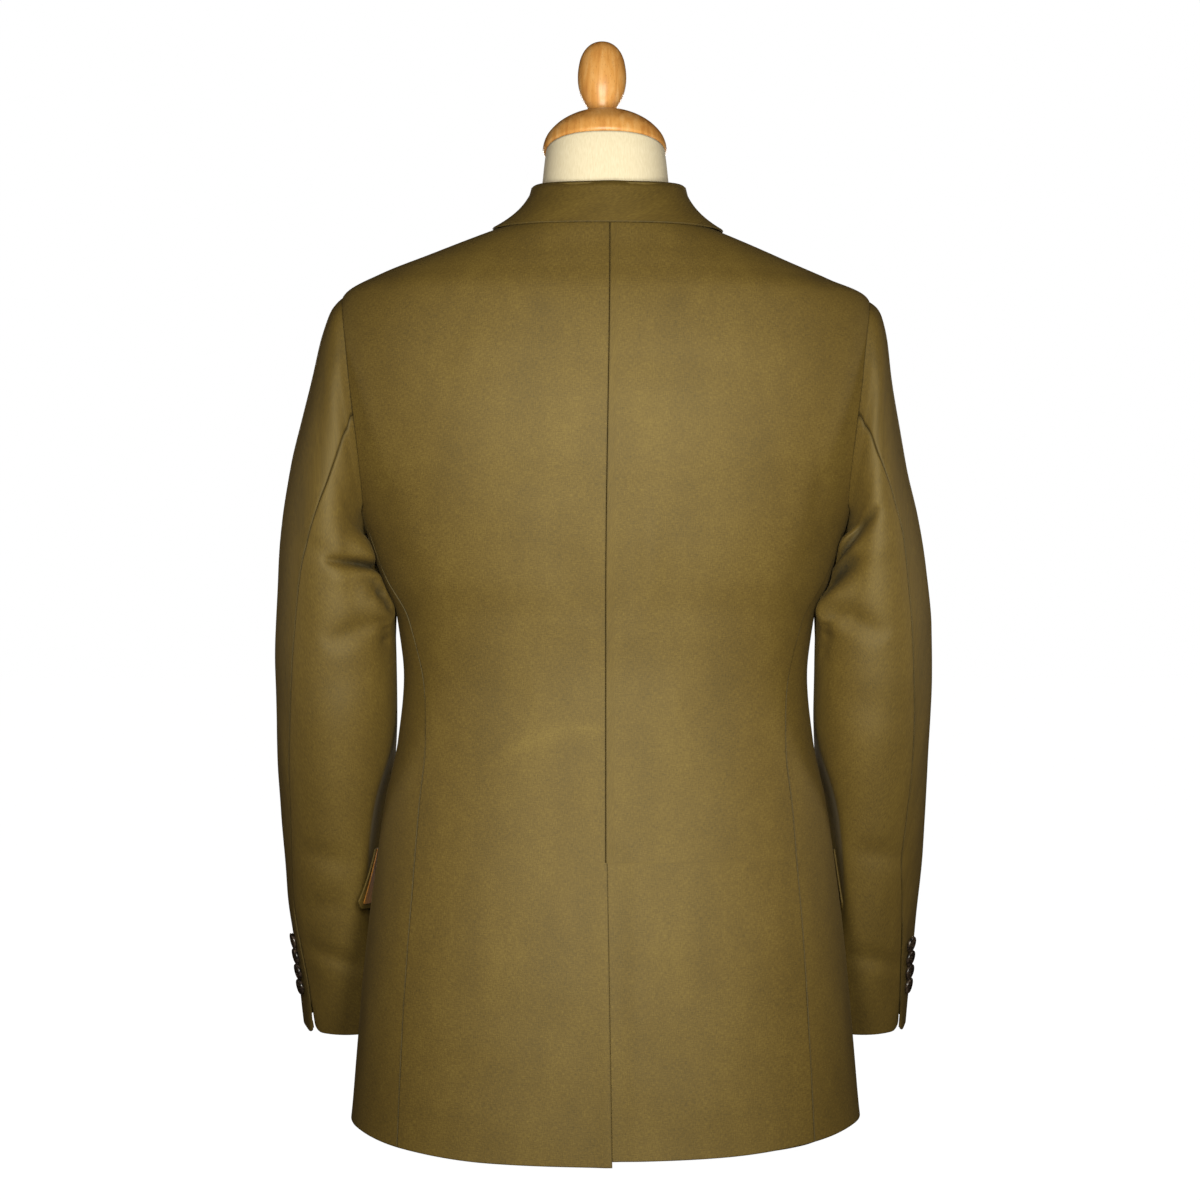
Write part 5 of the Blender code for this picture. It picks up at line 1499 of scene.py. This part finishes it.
    def pressed(self, points: Array) -> Array:
        """Points held off the body, and drawn on to it under the arm.

        Between the hug's heights the side towards the body moves to the body's width. Then x becomes
        a soft maximum of itself and the body's width with a clearance.

        Args:
            points: Rings of points.

        Returns:
            The moved points.
        """
        x, y, height = (points[..., i] for i in range(3))
        middle = x.mean(axis=1, keepdims=True)
        inner = (middle - x) / np.abs(x - middle).max(axis=1, keepdims=True)
        near = ease(height, *self.hug[:2]) * (1 - ease(height, *self.hug[2:]))
        clear = self.clear[0] + (self.clear[1] - self.clear[0]) * ease(height, *self.clear_between)
        clear = clear + (self.hug_clear - clear) * near
        soft = self.press_softness + (self.hug_softness - self.press_softness) * near
        level = np.clip(height, HEM_LEVEL, JOINT_LEVEL)
        floor = BODY.half_width_at(y, level) + clear
        outline = (BODY.rings.at("half_width", level) - self.hug_over) * (1 + y / self.hug_view)
        x = x + (np.minimum(x, np.maximum(floor, outline)) - x) * near * ease(inner, *self.hug_share)
        out = (x + floor + np.sqrt((x - floor) ** 2 + soft**2)) / 2
        moved = points.copy()
        moved[..., 0] = x + (out - x) * (1 - ease(height, *self.press_top))
        return moved

    def rows(self) -> Array:
        """Row numbers of the rings, which lie closer at the armhole, at the elbow and at the cuff.

        Returns:
            Fractional row numbers of the rings' table.
        """
        share = np.concatenate([
            (0, 0.0008, 0.002, 0.004, 0.007, 0.011),
            np.linspace(0.016, 0.31, 64),
            np.linspace(0.31, 0.50, 72)[1:-1],
            np.linspace(0.50, 0.9955, 100),
            (0.9972, 0.9985, 0.9993, 0.9997, 1),
        ])
        return share * (len(self.rings.rows) - 1)

    def angles(self, loop: Array, row: Array, hand: Hand) -> tuple[Array, Array, int]:
        """The ovals' angles, shared out between the two seams.

        At the armhole the shares are those of its own points. Down the arm they turn into even shares
        that are drawn towards the seams.

        Args:
            loop: The armhole's points.
            row: Row numbers of the rings.
            hand: Which side.

        Returns:
            Radians for each ring and column, the order of the armhole's points from the front seam
            on, and the number of columns of the top piece.
        """
        high, low, count = loop[:, 2].max(), loop[:, 2].min(), len(loop)
        upright = (loop[:, 2] - (high + low) / 2) / ((high - low) / 2)
        at = np.arctan2((self.armhole_middle - loop[:, 1]) / self.armhole_reach, upright)
        back_seam = np.radians(self.rings.by_row(f"seam_{hand.word}", row))
        front_seam = math.radians(self.front_seam)
        back, front = (int(np.argmin(np.abs(at - seam))) for seam in (back_seam[0], front_seam))
        order, top = np.roll(np.arange(count), -front), (back - front) % count
        turned_at = np.unwrap(at[order])
        start, middle, stop = turned_at[0], turned_at[top], turned_at[0] + 2 * math.pi
        own = np.concatenate([
            (turned_at[:top] - start) / (middle - start), 1 + (turned_at[top:] - middle) / (stop - middle),
        ])
        even = np.concatenate([
            crowded(np.linspace(0, 1, top + 1)[:-1]), 1 + crowded(np.linspace(0, 1, count - top + 1)[:-1]),
        ])
        progress = (row / row[-1])[:, None]
        blend = ease(progress, 0.0, self.shares_even)
        share = own * (1 - blend) + even * blend
        settled = ease(progress, 0, self.seams_settled)
        low = start + (front_seam - start) * settled
        high = middle + (back_seam[:, None] - middle) * settled
        round_top, round_under = (high - low) * share, (low + 2 * math.pi - high) * (share - 1)
        return np.where(share <= 1, low + round_top, high + round_under), order, top

    def ovals(self, angle: Array, row: Array, hand: Hand) -> Array:
        """Rings of points: ovals between the sleeve's outer and inner side, tilted by their depth.

        Args:
            angle: Radians from the outer side over the back.
            row: Row numbers of the rings.
            hand: Which side.

        Returns:
            Rings of points.
        """
        names = (f"outer_{hand.word}", "outer_z", "inner_x", "inner_z", "mid_y", "back", "front", "tilt")
        outer_x, outer_z, inner_x, inner_z, mid_y, back, front, tilt = (
            self.rings.by_row(name, row)[:, None] for name in names
        )
        c, s = np.cos(angle), np.sin(angle)
        x = (outer_x + inner_x) / 2 + (outer_x - inner_x) / 2 * c
        y = mid_y - np.where(s > 0, back, front) * s
        z = (outer_z + inner_z) / 2 + (outer_z - inner_z) / 2 * c + tilt * (y - mid_y)
        return np.stack([x, y, z], axis=-1)

    def surface(self, hand: Hand) -> tuple[Array, Array, Array, int]:
        """The sleeve's outer surface.

        The first ring is the armhole's own edge, and the difference between it and the first oval
        dies away down the arm. Then come the small creases, the press against the body, the deep
        folds and the roll of the sleeve's head.

        Args:
            hand: Which side.

        Returns:
            Rings of points, outward normals, the painted shade in folds, and the number of
            columns of the top piece.
        """
        loop, panel_normal, into = self.armhole_loop(hand)
        row = self.rows()
        angle, order, top_count = self.angles(loop, row, hand)
        points = self.ovals(angle, row, hand)
        seam_line = (loop + into * self.cap_gap - panel_normal * self.cap_sunk)[order]
        fade = np.clip(1 - row / row[-1] / self.cap_fade, 0, 1) ** self.cap_power
        points = points + (seam_line - points[0]) * fade[:, None, None]
        rest = points[1:]
        wave = self.uneven * waviness(rest[..., 0] + rest[..., 1], rest[..., 2], 0.8 + hand.value)
        inwards = self.inwards(rest, hand.pick(self.creases_left, self.creases_right)) + wave
        points[1:] = self.pressed(self.crumpled(rest, inwards, self.sideways))
        folded = self.inwards(points, hand.pick(self.folds_left, self.folds_right))
        # painted shade, which grows with the fold's depth
        shade = np.clip(folded / self.fold_full, 0, 1) ** 1.5 * self.fold_shade
        points[1:] = self.crumpled(points[1:], folded[1:], 1.0)
        around = np.roll(points, -1, axis=1) - np.roll(points, 1, axis=1)
        normal = unit(np.cross(around, np.gradient(points, axis=0)))
        normal = normal * np.sign(dot(points - points.mean(axis=1, keepdims=True), normal).sum())
        down = lengths(points, 0)
        full, end = self.cap_roll_reach
        roll = self.cap_roll * (1 - np.exp(-down / full)) * np.exp(-((down / end) ** 2))
        roll = roll * ease(loop[order, 2], *self.cap_roll_rise)
        return points + normal * roll[..., None], normal, shade, top_count

    def build(self, hand: Hand) -> tuple[Object, Object, Array, Array]:
        """Both pieces of one sleeve.

        Args:
            hand: Which side.

        Returns:
            The top and under sleeve, and the top sleeve's points and normals for its buttons.
        """
        points, normal, shade, top_count = self.surface(hand)
        around = np.arange(points.shape[1] + 1) % points.shape[1]
        made = []
        for name, columns, darker, corner_lift in (
            ("top_sleeve", around[: top_count + 1], self.top_shade, self.corner_lift[0]),
            ("under_sleeve", around[top_count:], 0.0, self.corner_lift[1]),
        ):
            grid, facing = points[:, columns], normal[:, columns]
            for edge, beside in ((0, 1), (-1, -2)):
                grid[:, edge] += unit(grid[:, beside] - grid[:, edge]) * SEAM_GAP / 2
            to_slit = lengths(grid, 1)
            if name == "top_sleeve":
                to_slit = to_slit[:, -1:] - to_slit
                off = self.slit_lift * (1 - ease(grid[..., 2], *self.slit_top))
                grid = grid + facing * (off * np.exp(-((to_slit / self.slit_wide) ** 2)))[..., None]
            inside = np.clip(1 - to_slit / self.corner, 0, 1)
            lifted = self.corner * (1 - np.sqrt(1 - inside**2)) * corner_lift
            if name == "top_sleeve":
                lifted = lifted - self.placket * np.exp(-((to_slit / self.placket_wide) ** 2))
            grid[..., 2] += lifted * np.clip(1 - (grid[..., 2] - grid[-1, :, 2]) / self.corner_tall, 0, 1)
            # painted shade of the folds, and the top sleeve's darker tone, which is partly painted shade
            dark = shade[:, columns] + darker
            made.append(shell(f"{name}_{hand.word}", grid, facing, CLOTH, hand, False, dark))
        return made[0], made[1], points[:, : top_count + 1], normal[:, : top_count + 1]


# ---------------- pocket flaps
@dataclass(frozen=True)
class Flap:
    """A hip pocket flap over its satin lining. Its rear lower corner stands off."""

    top: float = 0.2620
    bottom: float = 0.2080
    rear: float = 93
    front: float = 150
    width: float = 0.155
    height: float = 0.054
    under: float = 2.6 * MM
    cloth: float = 1.6 * MM
    lining: float = 1.0 * MM
    inset: float = 4.6 * MM
    flare_left: float = 8.6 * MM
    flare_right: float = 0.8 * MM
    flare_reach: float = 0.10  # share of the width over which it dies away
    flare_power: float = 1.3
    rear_corner: Pair = (7.0 * MM, 0.045)  # how far it is rounded up, and over what share
    front_corner: Pair = (10.0 * MM, 0.12)
    under_right: float = 1.4 * MM
    hidden_right: float = 14.0 * MM  # how much further the right lining is drawn in at the rear
    cut: Cut = Cut(0.170, 0.055, 0.0086)
    lining_left: Cut = Cut(0.154, 0.050, 0.0074)
    lining_right: Cut = Cut(0.139, 0.050, 0.0067)

    def grid(self, hand: Hand, inset: float, lift: float, rear: float = 0.0) -> tuple[Array, Array]:
        """A flap's points on the body surface, moved out.

        The flare dies away from the rear edge as exp(-share / reach) and grows with a power of the
        drop. Both lower corners are rounded up.

        Args:
            hand: Which side.
            inset: How far the outline is drawn in.
            lift: The height over the body surface.
            rear: How much further the rear edge is drawn in.

        Returns:
            Points and normals.
        """
        trim, start = inset / self.width, (inset + rear) / self.width
        share = start + (1 - trim - start) * shares(self.width, 2.6 * MM)[None, :]
        fall = shares(self.height, 2.4 * MM)[:, None]
        angle = math.radians(self.rear) + math.radians(self.front - self.rear) * share
        deep = fall * (self.top - self.bottom - inset)
        corner = sum(
            up * np.clip(1 - to_edge / reach, 0, 1) ** 2
            for (up, reach), to_edge in ((self.rear_corner, share), (self.front_corner, 1 - share))
        )
        point, normal = BODY.patch(angle, self.top - deep + corner * fall**3, hand)
        flare = hand.pick(self.flare_left, self.flare_right) * np.exp(-share / self.flare_reach)
        out = lift + flare * (deep / (self.top - self.bottom)) ** self.flare_power
        return point + normal * out[..., None], normal

    def build(self, hand: Hand) -> tuple[Object, Object]:
        """The flap and its lining.

        Args:
            hand: Which side.

        Returns:
            Both shells.
        """
        under, rear = hand.pick((self.under, 0.0), (self.under_right, self.hidden_right))
        over = self.grid(hand, 0.0, under + self.cloth)
        lined = self.grid(hand, self.inset, under, rear)
        return (
            shell(f"flap_{hand.word}", *over, self.cloth, hand, edge_painted_shade=0.0),
            shell(f"flap_lining_{hand.word}", *lined, self.lining, hand, edge_painted_shade=0.0),
        )


# ---------------- turned pieces
def capped(rings: Array) -> tuple[Array, list]:
    """A closed tube: quads between rings, and fans to a pole in the middle of each end ring.

    Args:
        rings: Rings of points.

    Returns:
        Points and faces.
    """
    rows, sides = rings.shape[:2]
    index = np.arange(rows * sides).reshape(rows, sides)
    after = np.roll(index, -1, axis=1)
    faces = np.stack([index[:-1], after[:-1], after[1:], index[1:]], axis=-1).reshape(-1, 4).tolist()
    for k, edge in enumerate(((after[0], index[0]), (index[-1], after[-1]))):
        faces += np.stack([*edge, np.full(sides, rows * sides + k)], axis=-1).tolist()
    return np.concatenate([rings.reshape(-1, 3), rings[[0, -1]].mean(axis=1)]), faces


def turned(profile: Array, sides: int) -> tuple[Array, list]:
    """A closed turned solid round the z axis, with a ring for each (radius, height).

    Args:
        profile: Rows of radius and height, upwards.
        sides: Columns round the axis.

    Returns:
        Points and faces.
    """
    angle = np.arange(sides) * 2 * math.pi / sides
    radius, height = profile[:, :1], profile[:, 1:]
    return capped(np.stack([radius * np.cos(angle), radius * np.sin(angle), height + 0 * angle], axis=-1))


@dataclass(frozen=True)
class Woodwork:
    """The turned neck cap and its knob, on axes that lean forward from the neck."""

    tilt: float = math.radians(13.5)
    centre: Triple = (-0.0006, -0.001, 0.8735)
    knob_shift: float = -2.4 * MM
    step: float = 0.9 * MM
    sides: int = 120
    cap: Rows = (
        (0.05, 0.0), (0.053, 0.0008), (0.0545, 0.0034), (0.0543, 0.0062), (0.0525, 0.0125),
        (0.0468, 0.0205), (0.0366, 0.0286), (0.0255, 0.0338), (0.0172, 0.0364), (0.0126, 0.0375),
    )
    knob: Rows = (
        (0.0122, 0.0378), (0.012, 0.041), (0.0131, 0.0444), (0.016, 0.0499), (0.0193, 0.0578),
        (0.0211, 0.0662), (0.0215, 0.0745), (0.0207, 0.083), (0.0186, 0.0918), (0.0155, 0.0978),
        (0.0114, 0.1022), (0.0064, 0.1048), (0.0004, 0.1058),
    )

    def build(self, name: str, rows: tuple, shift: float) -> Object:
        """One turned piece, its profile carried through the rows by a smooth cubic.

        Args:
            name: The piece's name.
            rows: Rows of radius and height.
            shift: How far it stands to the wearer's right.

        Returns:
            The object.
        """
        table = np.array(rows)
        along = np.append(0, np.cumsum(np.linalg.norm(np.diff(table, axis=0), axis=1)))
        fine = spaced(along, self.step)
        profile = np.stack([curve(fine, along, column, False) for column in table.T], axis=-1)
        points, faces = turned(profile, self.sides)
        lean = np.array(Matrix.Rotation(-self.tilt, 3, "X"))
        return make_object(name, points @ lean.T + np.array(self.centre) + np.array((shift, 0, 0)), faces)


@dataclass(frozen=True)
class TailorForm:
    """The limbless torso: one closed skin from its flat base to the slanted top of its neck."""

    inset: float = 0.0120
    shoulder: float = 0.2080
    sides: int = 144
    foot: Table = Table(("height", "inset"), (
        (0.0, 0.1), (0.004, 0.078), (0.009, 0.054), (0.016, 0.03), (0.026, 0.0165), (0.048, 0.012),
    ))
    neck: Table = Table(("height", "half_width", "back_y", "side_y", "front_y"), (
        (0.817, 0.064, -0.0665, -0.007, 0.056), (0.83, 0.059, -0.064, -0.005, 0.053),
        (0.843, 0.056, -0.0615, -0.003, 0.0525), (0.86, 0.0538, -0.0575, -0.001, 0.0525),
        (0.8700, 0.0525, -0.0545, 0.000, 0.0525),
    ))
    neck_blend: float = 0.835
    levels: Sizes = (0.055, 0.70, 0.752, 0.84, 0.910)
    sink: Pair = (0.70, 0.80)  # levels between which it sinks below the shoulders' cloth
    cap_gap: float = 0.3 * MM

    def build(self, wood: Woodwork) -> Object:
        """The torso: rings of the body surface drawn in, then the neck's own rings.

        Args:
            wood: The neck cap that the neck has to meet.

        Returns:
            The object.
        """
        angle = np.arange(self.sides) * 2 * math.pi / self.sides
        side, end = BODY.rounded(angle)
        behind = end > 0
        low = spaced(self.foot.column("height"), 2.0 * MM)
        level = np.concatenate([low, spaced(self.levels, 8.0 * MM)])[:, None]
        ring = BODY.ring_values(np.maximum(level, HEM_LEVEL))
        half_width, (back_z, side_z, front_z) = ring[0], ring[4:]
        inset = self.foot.at("inset", level)
        wide = np.minimum(half_width - inset, self.shoulder)
        y = ring[2] - (depth(behind, *ring[1:4]) - inset) * end
        z = side_z + (np.where(behind, back_z, front_z) - side_z) * end**2
        z = np.where(level > HEM_LEVEL, z - self.inset * ease(level, *self.sink), level)
        body = np.stack([wide * side, y, z], axis=-1)
        height = spaced(self.neck.column("height"), 2.0 * MM)[:, None]
        half_width, *reach = (self.neck.at(name, height) for name in self.neck.columns[1:])
        y = reach[1] - depth(behind, *reach) * end
        rim = wood.centre[2] - self.cap_gap - math.tan(wood.tilt) * (y - wood.centre[1])
        z = height + ease(height, self.neck_blend, height[-1, 0]) * (rim - height[-1, 0])
        neck = np.stack([half_width * side, y, z], axis=-1)
        return make_object("form_torso", *capped(np.concatenate([body, neck])))


# ---------------- buttons
@dataclass(frozen=True)
class Button:
    """A four-hole horn button with a rounded rim, a dished face and crossed threads."""

    radius: float
    thick: float
    lift: float = 0.8 * MM
    hole: float = 0.13  # share of the radius
    hole_at: float = 0.27
    hole_deep: float = 0.5  # share of the thickness
    dish: float = 0.75  # height of the face's middle, as a share of the thickness
    strand: float = 0.42 * MM  # the thread's radius
    strand_low: float = 0.62  # heights of the strand's ends and bow, as shares of the thickness
    strand_bow: float = 0.30
    profile: Rows = (
        (0.8, 0.0), (0.97, 0.3), (1.0, 0.55), (0.985, 0.78), (0.93, 0.95), (0.84, 1.0), (0.74, 0.93),
        (0.66, 0.8), (0.6, 0.76), (0.5, 0.75),
    )

    def build(self, name: str, place: Array, facing: Array) -> Object:
        """One button on its cloth.

        The profile is carried round the axis. The four holes are dips of the face, each
        exp(-(distance / radius)^6) deep.

        Args:
            name: The piece's name.
            place: The centre of its underside.
            facing: Its outward direction.

        Returns:
            The object, with the horn first and the thread second in its slots.
        """
        face = [(share, self.dish) for share in np.linspace(0.47, 0.03, 12)]
        table = np.array((*self.profile, *face)) * np.array((self.radius, self.thick))
        points, faces = turned(table, 48)
        for k in range(4):
            away = np.linalg.norm(points[:, :2] - self.hole_place(k), axis=1) / (self.radius * self.hole)
            dip = self.thick * self.hole_deep * np.exp(-(away**6))
            points[:, 2] -= np.where(points[:, 2] > self.thick * 0.6, dip, 0)
        made = make_object(name, self.placed(points, place, facing), faces)
        horn_faces = len(made.data.polygons)
        joined = [made]
        for k in range(2):
            points, faces = self.thread(k)
            joined.append(make_object(f"{name}_thread_{k}", self.placed(points, place, facing), faces))
        held = {"active_object": made, "selected_editable_objects": joined, "selected_objects": joined}
        with bpy.context.temp_override(**held):
            bpy.ops.object.join()
        slots = np.zeros(len(made.data.polygons), int)
        slots[horn_faces:] = 1
        made.data.polygons.foreach_set("material_index", slots)
        return made

    def hole_place(self, k: int) -> Array:
        """The middle of one of the four holes, on the diagonals."""
        turn = math.pi / 4 + k * math.pi / 2
        return self.radius * self.hole_at * np.array((math.cos(turn), math.sin(turn)))

    def thread(self, k: int) -> tuple[Array, list]:
        """A strand between two holes: a bowed tube, with poles at both ends.

        Args:
            k: 0 or 1, for the first or the second pair of holes.

        Returns:
            Points and faces.
        """
        t = np.linspace(0, 1, 9)[:, None]
        a, b = self.hole_place(2 * k), self.hole_place(2 * k + 1)
        out = np.array((-(b - a)[1], (b - a)[0])) / np.linalg.norm(b - a)
        around = np.arange(8) * math.pi / 4
        flat = (a + (b - a) * t)[:, None] + out * (self.strand * np.cos(around))[:, None]
        height = self.thick * (self.strand_low + self.strand_bow * np.sin(math.pi * t))
        up = height + self.strand * np.sin(around)
        return capped(np.concatenate([flat, up[..., None]], axis=-1))

    def placed(self, points: Array, place: Array, facing: Array) -> Array:
        """Points turned from +Z to the facing direction and moved to their place."""
        turn = np.array(Vector(facing).to_track_quat("Z", "Y").to_matrix())
        return points @ turn.T + place + facing * self.lift


# ---------------- studio
@dataclass(frozen=True)
class Light:
    """One soft rectangular light that the camera doesn't see."""

    name: str
    place: Triple
    aim: Triple
    size: Pair  # width and height
    watts: float
    colour: str
    spread: float = 180  # the full angle of its beam, in degrees

    def build(self) -> None:
        """Adds the light to the scene."""
        data = bpy.data.lights.new(self.name, "AREA")
        data.spread = math.radians(self.spread)
        data.shape = "RECTANGLE"
        data.size, data.size_y = self.size
        data.energy = self.watts
        data.color = linear(self.colour)[:3]
        made = bpy.data.objects.new(self.name, data)
        made.location = self.place
        made.rotation_euler = (Vector(self.aim) - Vector(self.place)).to_track_quat("-Z", "Y").to_euler()
        bpy.context.scene.collection.objects.link(made)
        made.visible_camera = False


@dataclass(frozen=True)
class Studio:
    """A pale sweep of floor, soft lights and the camera at the photo's angle."""

    camera_at: Triple = (-0.0048, -2.5, 0.482)
    lens: float = 85.23
    floor_size: float = 30.0
    floor_colour: str = "#5a5a5a"
    floor_bounce: str = "#4a4036"
    floor_glow: float = 1.0
    glow: float = 0.034
    glow_colour: str = "#ffb872"
    white: str = "#ffffff"
    lights: tuple[Light, ...] = (
        Light("key_left", (-0.18, -1.36, 0.64), (0, 0, 0.57), (0.24, 0.66), 11.4, "#fffff4"),
        Light("key_right", (0.25, -1.36, 0.64), (0, 0, 0.57), (0.24, 0.66), 13.4, "#fffff4"),
        Light("edge_left", (-0.95, 0.03, 0.56), (-0.27, 0, 0.50), (0.15, 0.45), 0.13, "#fff6e4", 70),
        Light("edge_right", (0.95, 0.03, 0.56), (0.27, 0, 0.50), (0.15, 0.45), 0.23, "#fff6e4", 70),
        Light("front_left", (-0.50, 1.60, 0.80), (0, 0, 0.50), (0.30, 0.45), 6.0, "#fffaf0"),
        Light("front_right", (0.50, 1.60, 0.80), (0, 0, 0.50), (0.30, 0.45), 6.0, "#fffaf0"),
    )

    def camera(self) -> None:
        """A level camera square to the back."""
        data = bpy.data.cameras.new("camera")
        data.lens = self.lens
        data.sensor_width = 36.0
        made = bpy.data.objects.new("camera", data)
        made.location = self.camera_at
        made.rotation_euler = (math.radians(90), 0, 0)
        bpy.context.scene.collection.objects.link(made)
        bpy.context.scene.camera = made

    def floor(self) -> None:
        """The floor: near white to the eye, and darker to the light that it throws back.

        The photo's sweep is burnt out to white but gives the hem and cuffs little light, so rays from
        the camera see mostly a white glow, and all other rays see a grey floor.
        """
        half = self.floor_size / 2
        corners = np.array(((-half, -half, 0), (half, -half, 0), (half, half, 0), (-half, half, 0)), float)
        floor = make_object("floor", corners, [(0, 1, 2, 3)])
        made, tree, shader = blank("pale_floor")
        sight = add(tree, "ShaderNodeLightPath", {}, "Is Camera Ray")
        tones = {0: sight, 6: linear(self.floor_bounce), 7: linear(self.floor_colour)}
        glow = {0: sight, 1: self.floor_glow}
        plug(tree, shader, {
            "Base Color": add(tree, "ShaderNodeMix", tones, 2, data_type="RGBA"),
            "Emission Strength": add(tree, "ShaderNodeMath", glow, operation="MULTIPLY"),
            "Emission Color": linear(self.white),
            "Roughness": 0.9,
            "Specular IOR Level": 0.0,
        })
        floor.data.materials.append(made)

    def surroundings(self) -> None:
        """A white backdrop to the camera, and a weak warm glow to everything else."""
        world = bpy.data.worlds.new("studio")
        world.use_nodes = True
        tree = world.node_tree
        sight = add(tree, "ShaderNodeLightPath", {}, "Is Camera Ray")
        glow = {"Value": sight, "To Min": self.glow, "To Max": 1.0}
        tones = {0: sight, 6: linear(self.glow_colour), 7: linear(self.white)}
        plug(tree, tree.nodes["Background"], {
            "Color": add(tree, "ShaderNodeMix", tones, 2, data_type="RGBA"),
            "Strength": add(tree, "ShaderNodeMapRange", glow),
        })
        bpy.context.scene.world = world

    def build(self) -> None:
        """The floor, the lights, the surroundings and the camera."""
        self.floor()
        for light in self.lights:
            light.build()
        self.surroundings()
        bpy.context.scene.view_settings.view_transform = "Standard"
        self.camera()


# ---------------- the whole jacket
def middle(node: str) -> Array:
    """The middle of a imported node's box."""
    return np.array(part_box(node)).mean(axis=0)


@dataclass(frozen=True)
class Jacket:
    """All the jacket's pieces in their order of making."""

    back: BackPanel = BackPanel()
    side: SidePanel = SidePanel()
    lapel: Lapel = Lapel()
    collar: Collar = Collar()
    sleeve: Sleeve = Sleeve()
    flap: Flap = Flap()
    cuff_button: Button = Button(7.4 * MM, 3.2 * MM)
    front_button: Button = Button(10.0 * MM, 4.0 * MM)

    def build(self) -> None:
        """Makes, dresses and declares every piece of the jacket."""
        cloth, satin = Moleskin().build(), Satin().build()
        finishes = Horn().build(), SewingThread().build()
        form = ("form_torso",)
        for hand in Hand:
            word = hand.word
            pieces = (
                (self.back.build(hand), self.back.cut, form),
                (self.side.build(hand), self.side.cut, form),
                (FRONT.build(hand), FRONT.cut, form),
                (self.lapel.build(hand), self.lapel.cut, (f"front_{word}",)),
            )
            for piece, cut, under in pieces:
                declare(piece, cloth)
            top, under, points, normals = self.sleeve.build(hand)
            declare(top, cloth)
            declare(under, cloth)
            flap, lining = self.flap.build(hand)
            declare(flap, cloth)
            lining_cut = hand.pick(self.flap.lining_left, self.flap.lining_right)
            declare(lining, satin)
            self.cuff_buttons(hand, points, normals, finishes)
        declare(self.collar.build(), cloth)
        self.front_buttons(finishes)

    def cuff_buttons(self, hand: Hand, points: Array, normals: Array, finishes: Finishes) -> None:
        """Four kissing buttons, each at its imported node's place and square to the sleeve there.

        Args:
            hand: Which side.
            points: The top sleeve's points.
            normals: Its outward normals.
            finishes: The horn and the thread.
        """
        mirror = np.array((hand.value, 1, 1))
        for k in range(1, 5):
            node = f"cuff_button_{hand.word}_{k}"
            away = np.linalg.norm(points * mirror - middle(node), axis=-1)
            near = np.unravel_index(int(np.argmin(away)), away.shape)
            self.sew(self.cuff_button, node, unit(normals[near] * mirror), finishes)

    def front_buttons(self, finishes: Finishes) -> None:
        """The two buttons of the front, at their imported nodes' places.

        Args:
            finishes: The horn and the thread.
        """
        for k in (1, 2):
            node = f"front_button_{k}"
            normal = FRONT.on(np.array([0.0]), middle(node)[2:], Hand.LEFT)[1][0]
            self.sew(self.front_button, node, normal * np.array((-1, 1, 1)), finishes)

    def sew(self, button: Button, node: str, facing: Array, finishes: Finishes) -> None:
        """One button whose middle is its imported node's middle.

        Args:
            button: Its sizes.
            node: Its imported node.
            facing: Its outward direction.
            finishes: The horn and the thread.
        """
        place = middle(node) - facing * (button.thick / 2 + button.lift)
        piece = button.build(node, place, facing)
        declare(piece, finishes[0])
        piece.data.materials.append(finishes[1])


def main() -> None:
    """Builds the studio, the form and the jacket in order."""
    logging.basicConfig(level=logging.INFO, format="%(message)s")
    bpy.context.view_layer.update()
    Studio().build()
    wood, jersey = Beech().build(), Jersey().build()
    woodwork = Woodwork()
    declare(TailorForm().build(woodwork), jersey)
    declare(woodwork.build("neck_cap", woodwork.cap, 0.0), wood)
    declare(woodwork.build("finial", woodwork.knob, woodwork.knob_shift), wood)
    Jacket().build()


if __name__ == "__main__":
    main()
